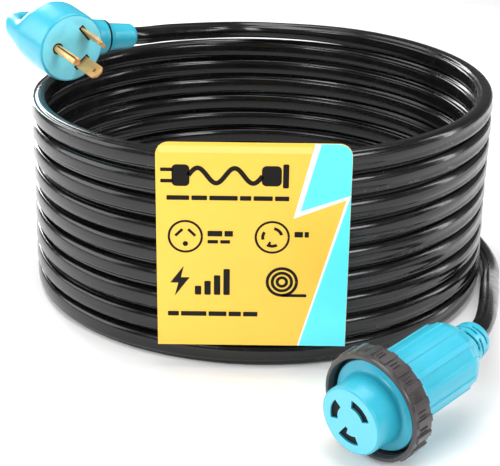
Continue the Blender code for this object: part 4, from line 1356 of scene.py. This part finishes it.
# The floor, the light and the camera.
floorMaterial = newMaterial("floorPaper", (0.92, 0.92, 0.92), 0.6)
floorRoughness = spread(floorMaterial, noiseOf(floorMaterial, 6.0), 0.55, 0.7)
join(floorMaterial, floorRoughness, shaderOf(floorMaterial).inputs["Roughness"])
floorCorners = [[-6, -6, 0], [6, -6, 0], [6, 6, 0], [-6, 6, 0]]
floor = makePiece("floor", floorCorners, [np.array([[0, 1, 2, 3]])], floorMaterial, smooth=False)

world = bpy.data.worlds.new("studio")
bpy.context.scene.world = world
world.use_nodes = True
nodes, links = world.node_tree.nodes, world.node_tree.links
seen, room = nodes["Background"], nodes.new("ShaderNodeBackground")
seen.inputs["Color"].default_value = (1.0, 1.0, 1.0, 1.0)
room.inputs["Color"].default_value = (1.0, 1.0, 1.0, 1.0)
room.inputs["Strength"].default_value = 0.17
rays, either = nodes.new("ShaderNodeLightPath"), nodes.new("ShaderNodeMixShader")
links.new(rays.outputs["Is Camera Ray"], either.inputs["Fac"])
links.new(room.outputs["Background"], either.inputs[1])
links.new(seen.outputs["Background"], either.inputs[2])
links.new(either.outputs["Shader"], nodes["World Output"].inputs["Surface"])


def softLight(name, place, target, size, power, sizeY=None):
    # A rectangular light whose back axis runs from the target to its place.
    light = bpy.data.lights.new(name, "AREA")
    light.energy = power
    light.shape = "RECTANGLE"
    light.size = size
    light.size_y = sizeY or size
    made = bpy.data.objects.new(name, light)
    bpy.context.scene.collection.objects.link(made)
    made.location = place
    made.rotation_euler = (Vector(target) - Vector(place)).to_track_quat("-Z", "Y").to_euler()
    return made


softLight("topLight", (0.1, 0.1, 1.9), (0, 0, 0.0), 1.5, 34)
softLight("frontLeft", (-1.3, -1.7, 1.25), (0, 0, 0.1), 0.9, 24, sizeY=0.7)
softLight("frontRight", (1.4, -1.5, 1.1), (0, 0, 0.1), 0.8, 20, sizeY=0.7)
softLight("edgeLeft", (-0.80, 1.30, 0.50), (0, 0, 0.1), 0.35, 16, sizeY=1.2)
softLight("softLeft", (-1.5, 0.05, 0.70), (0, 0, 0.1), 1.2, 12, sizeY=1.0)
softLight("stripRight", (1.6, 0.2, 0.6), (0, 0, 0.1), 0.25, 7, sizeY=1.2)

cameraData = bpy.data.cameras.new("camera")
camera = bpy.data.objects.new("camera", cameraData)
bpy.context.scene.collection.objects.link(camera)
bpy.context.scene.camera = camera
view = {
    "place": (-0.0091, -1.0663, 0.4672),
    "aim": (0.00097, 0.92537, -0.37904),
    "roll": 0.75,
    "lens": 95.3712,
}
cameraData.sensor_width = 36.0
cameraData.lens = view["lens"]
cameraData.clip_start = 0.05
cameraData.clip_end = 50.0
forward = unit(view["aim"])
rightAxis = unit(np.cross(forward, [0, 0, 1]))
upAxis = np.cross(rightAxis, forward)
roll = math.radians(view["roll"])
rolledRight = math.cos(roll) * rightAxis + math.sin(roll) * upAxis
rolledUp = -math.sin(roll) * rightAxis + math.cos(roll) * upAxis
turnMatrix = np.stack([rolledRight, rolledUp, -forward], -1)
cameraPlace = coilCenter + np.array(view["place"])
cameraRows = [[*turnMatrix[row], cameraPlace[row]] for row in range(3)]
camera.matrix_world = Matrix(cameraRows + [[0, 0, 0, 1]])
bpy.context.scene.view_settings.view_transform = "Standard"
print("camera set")
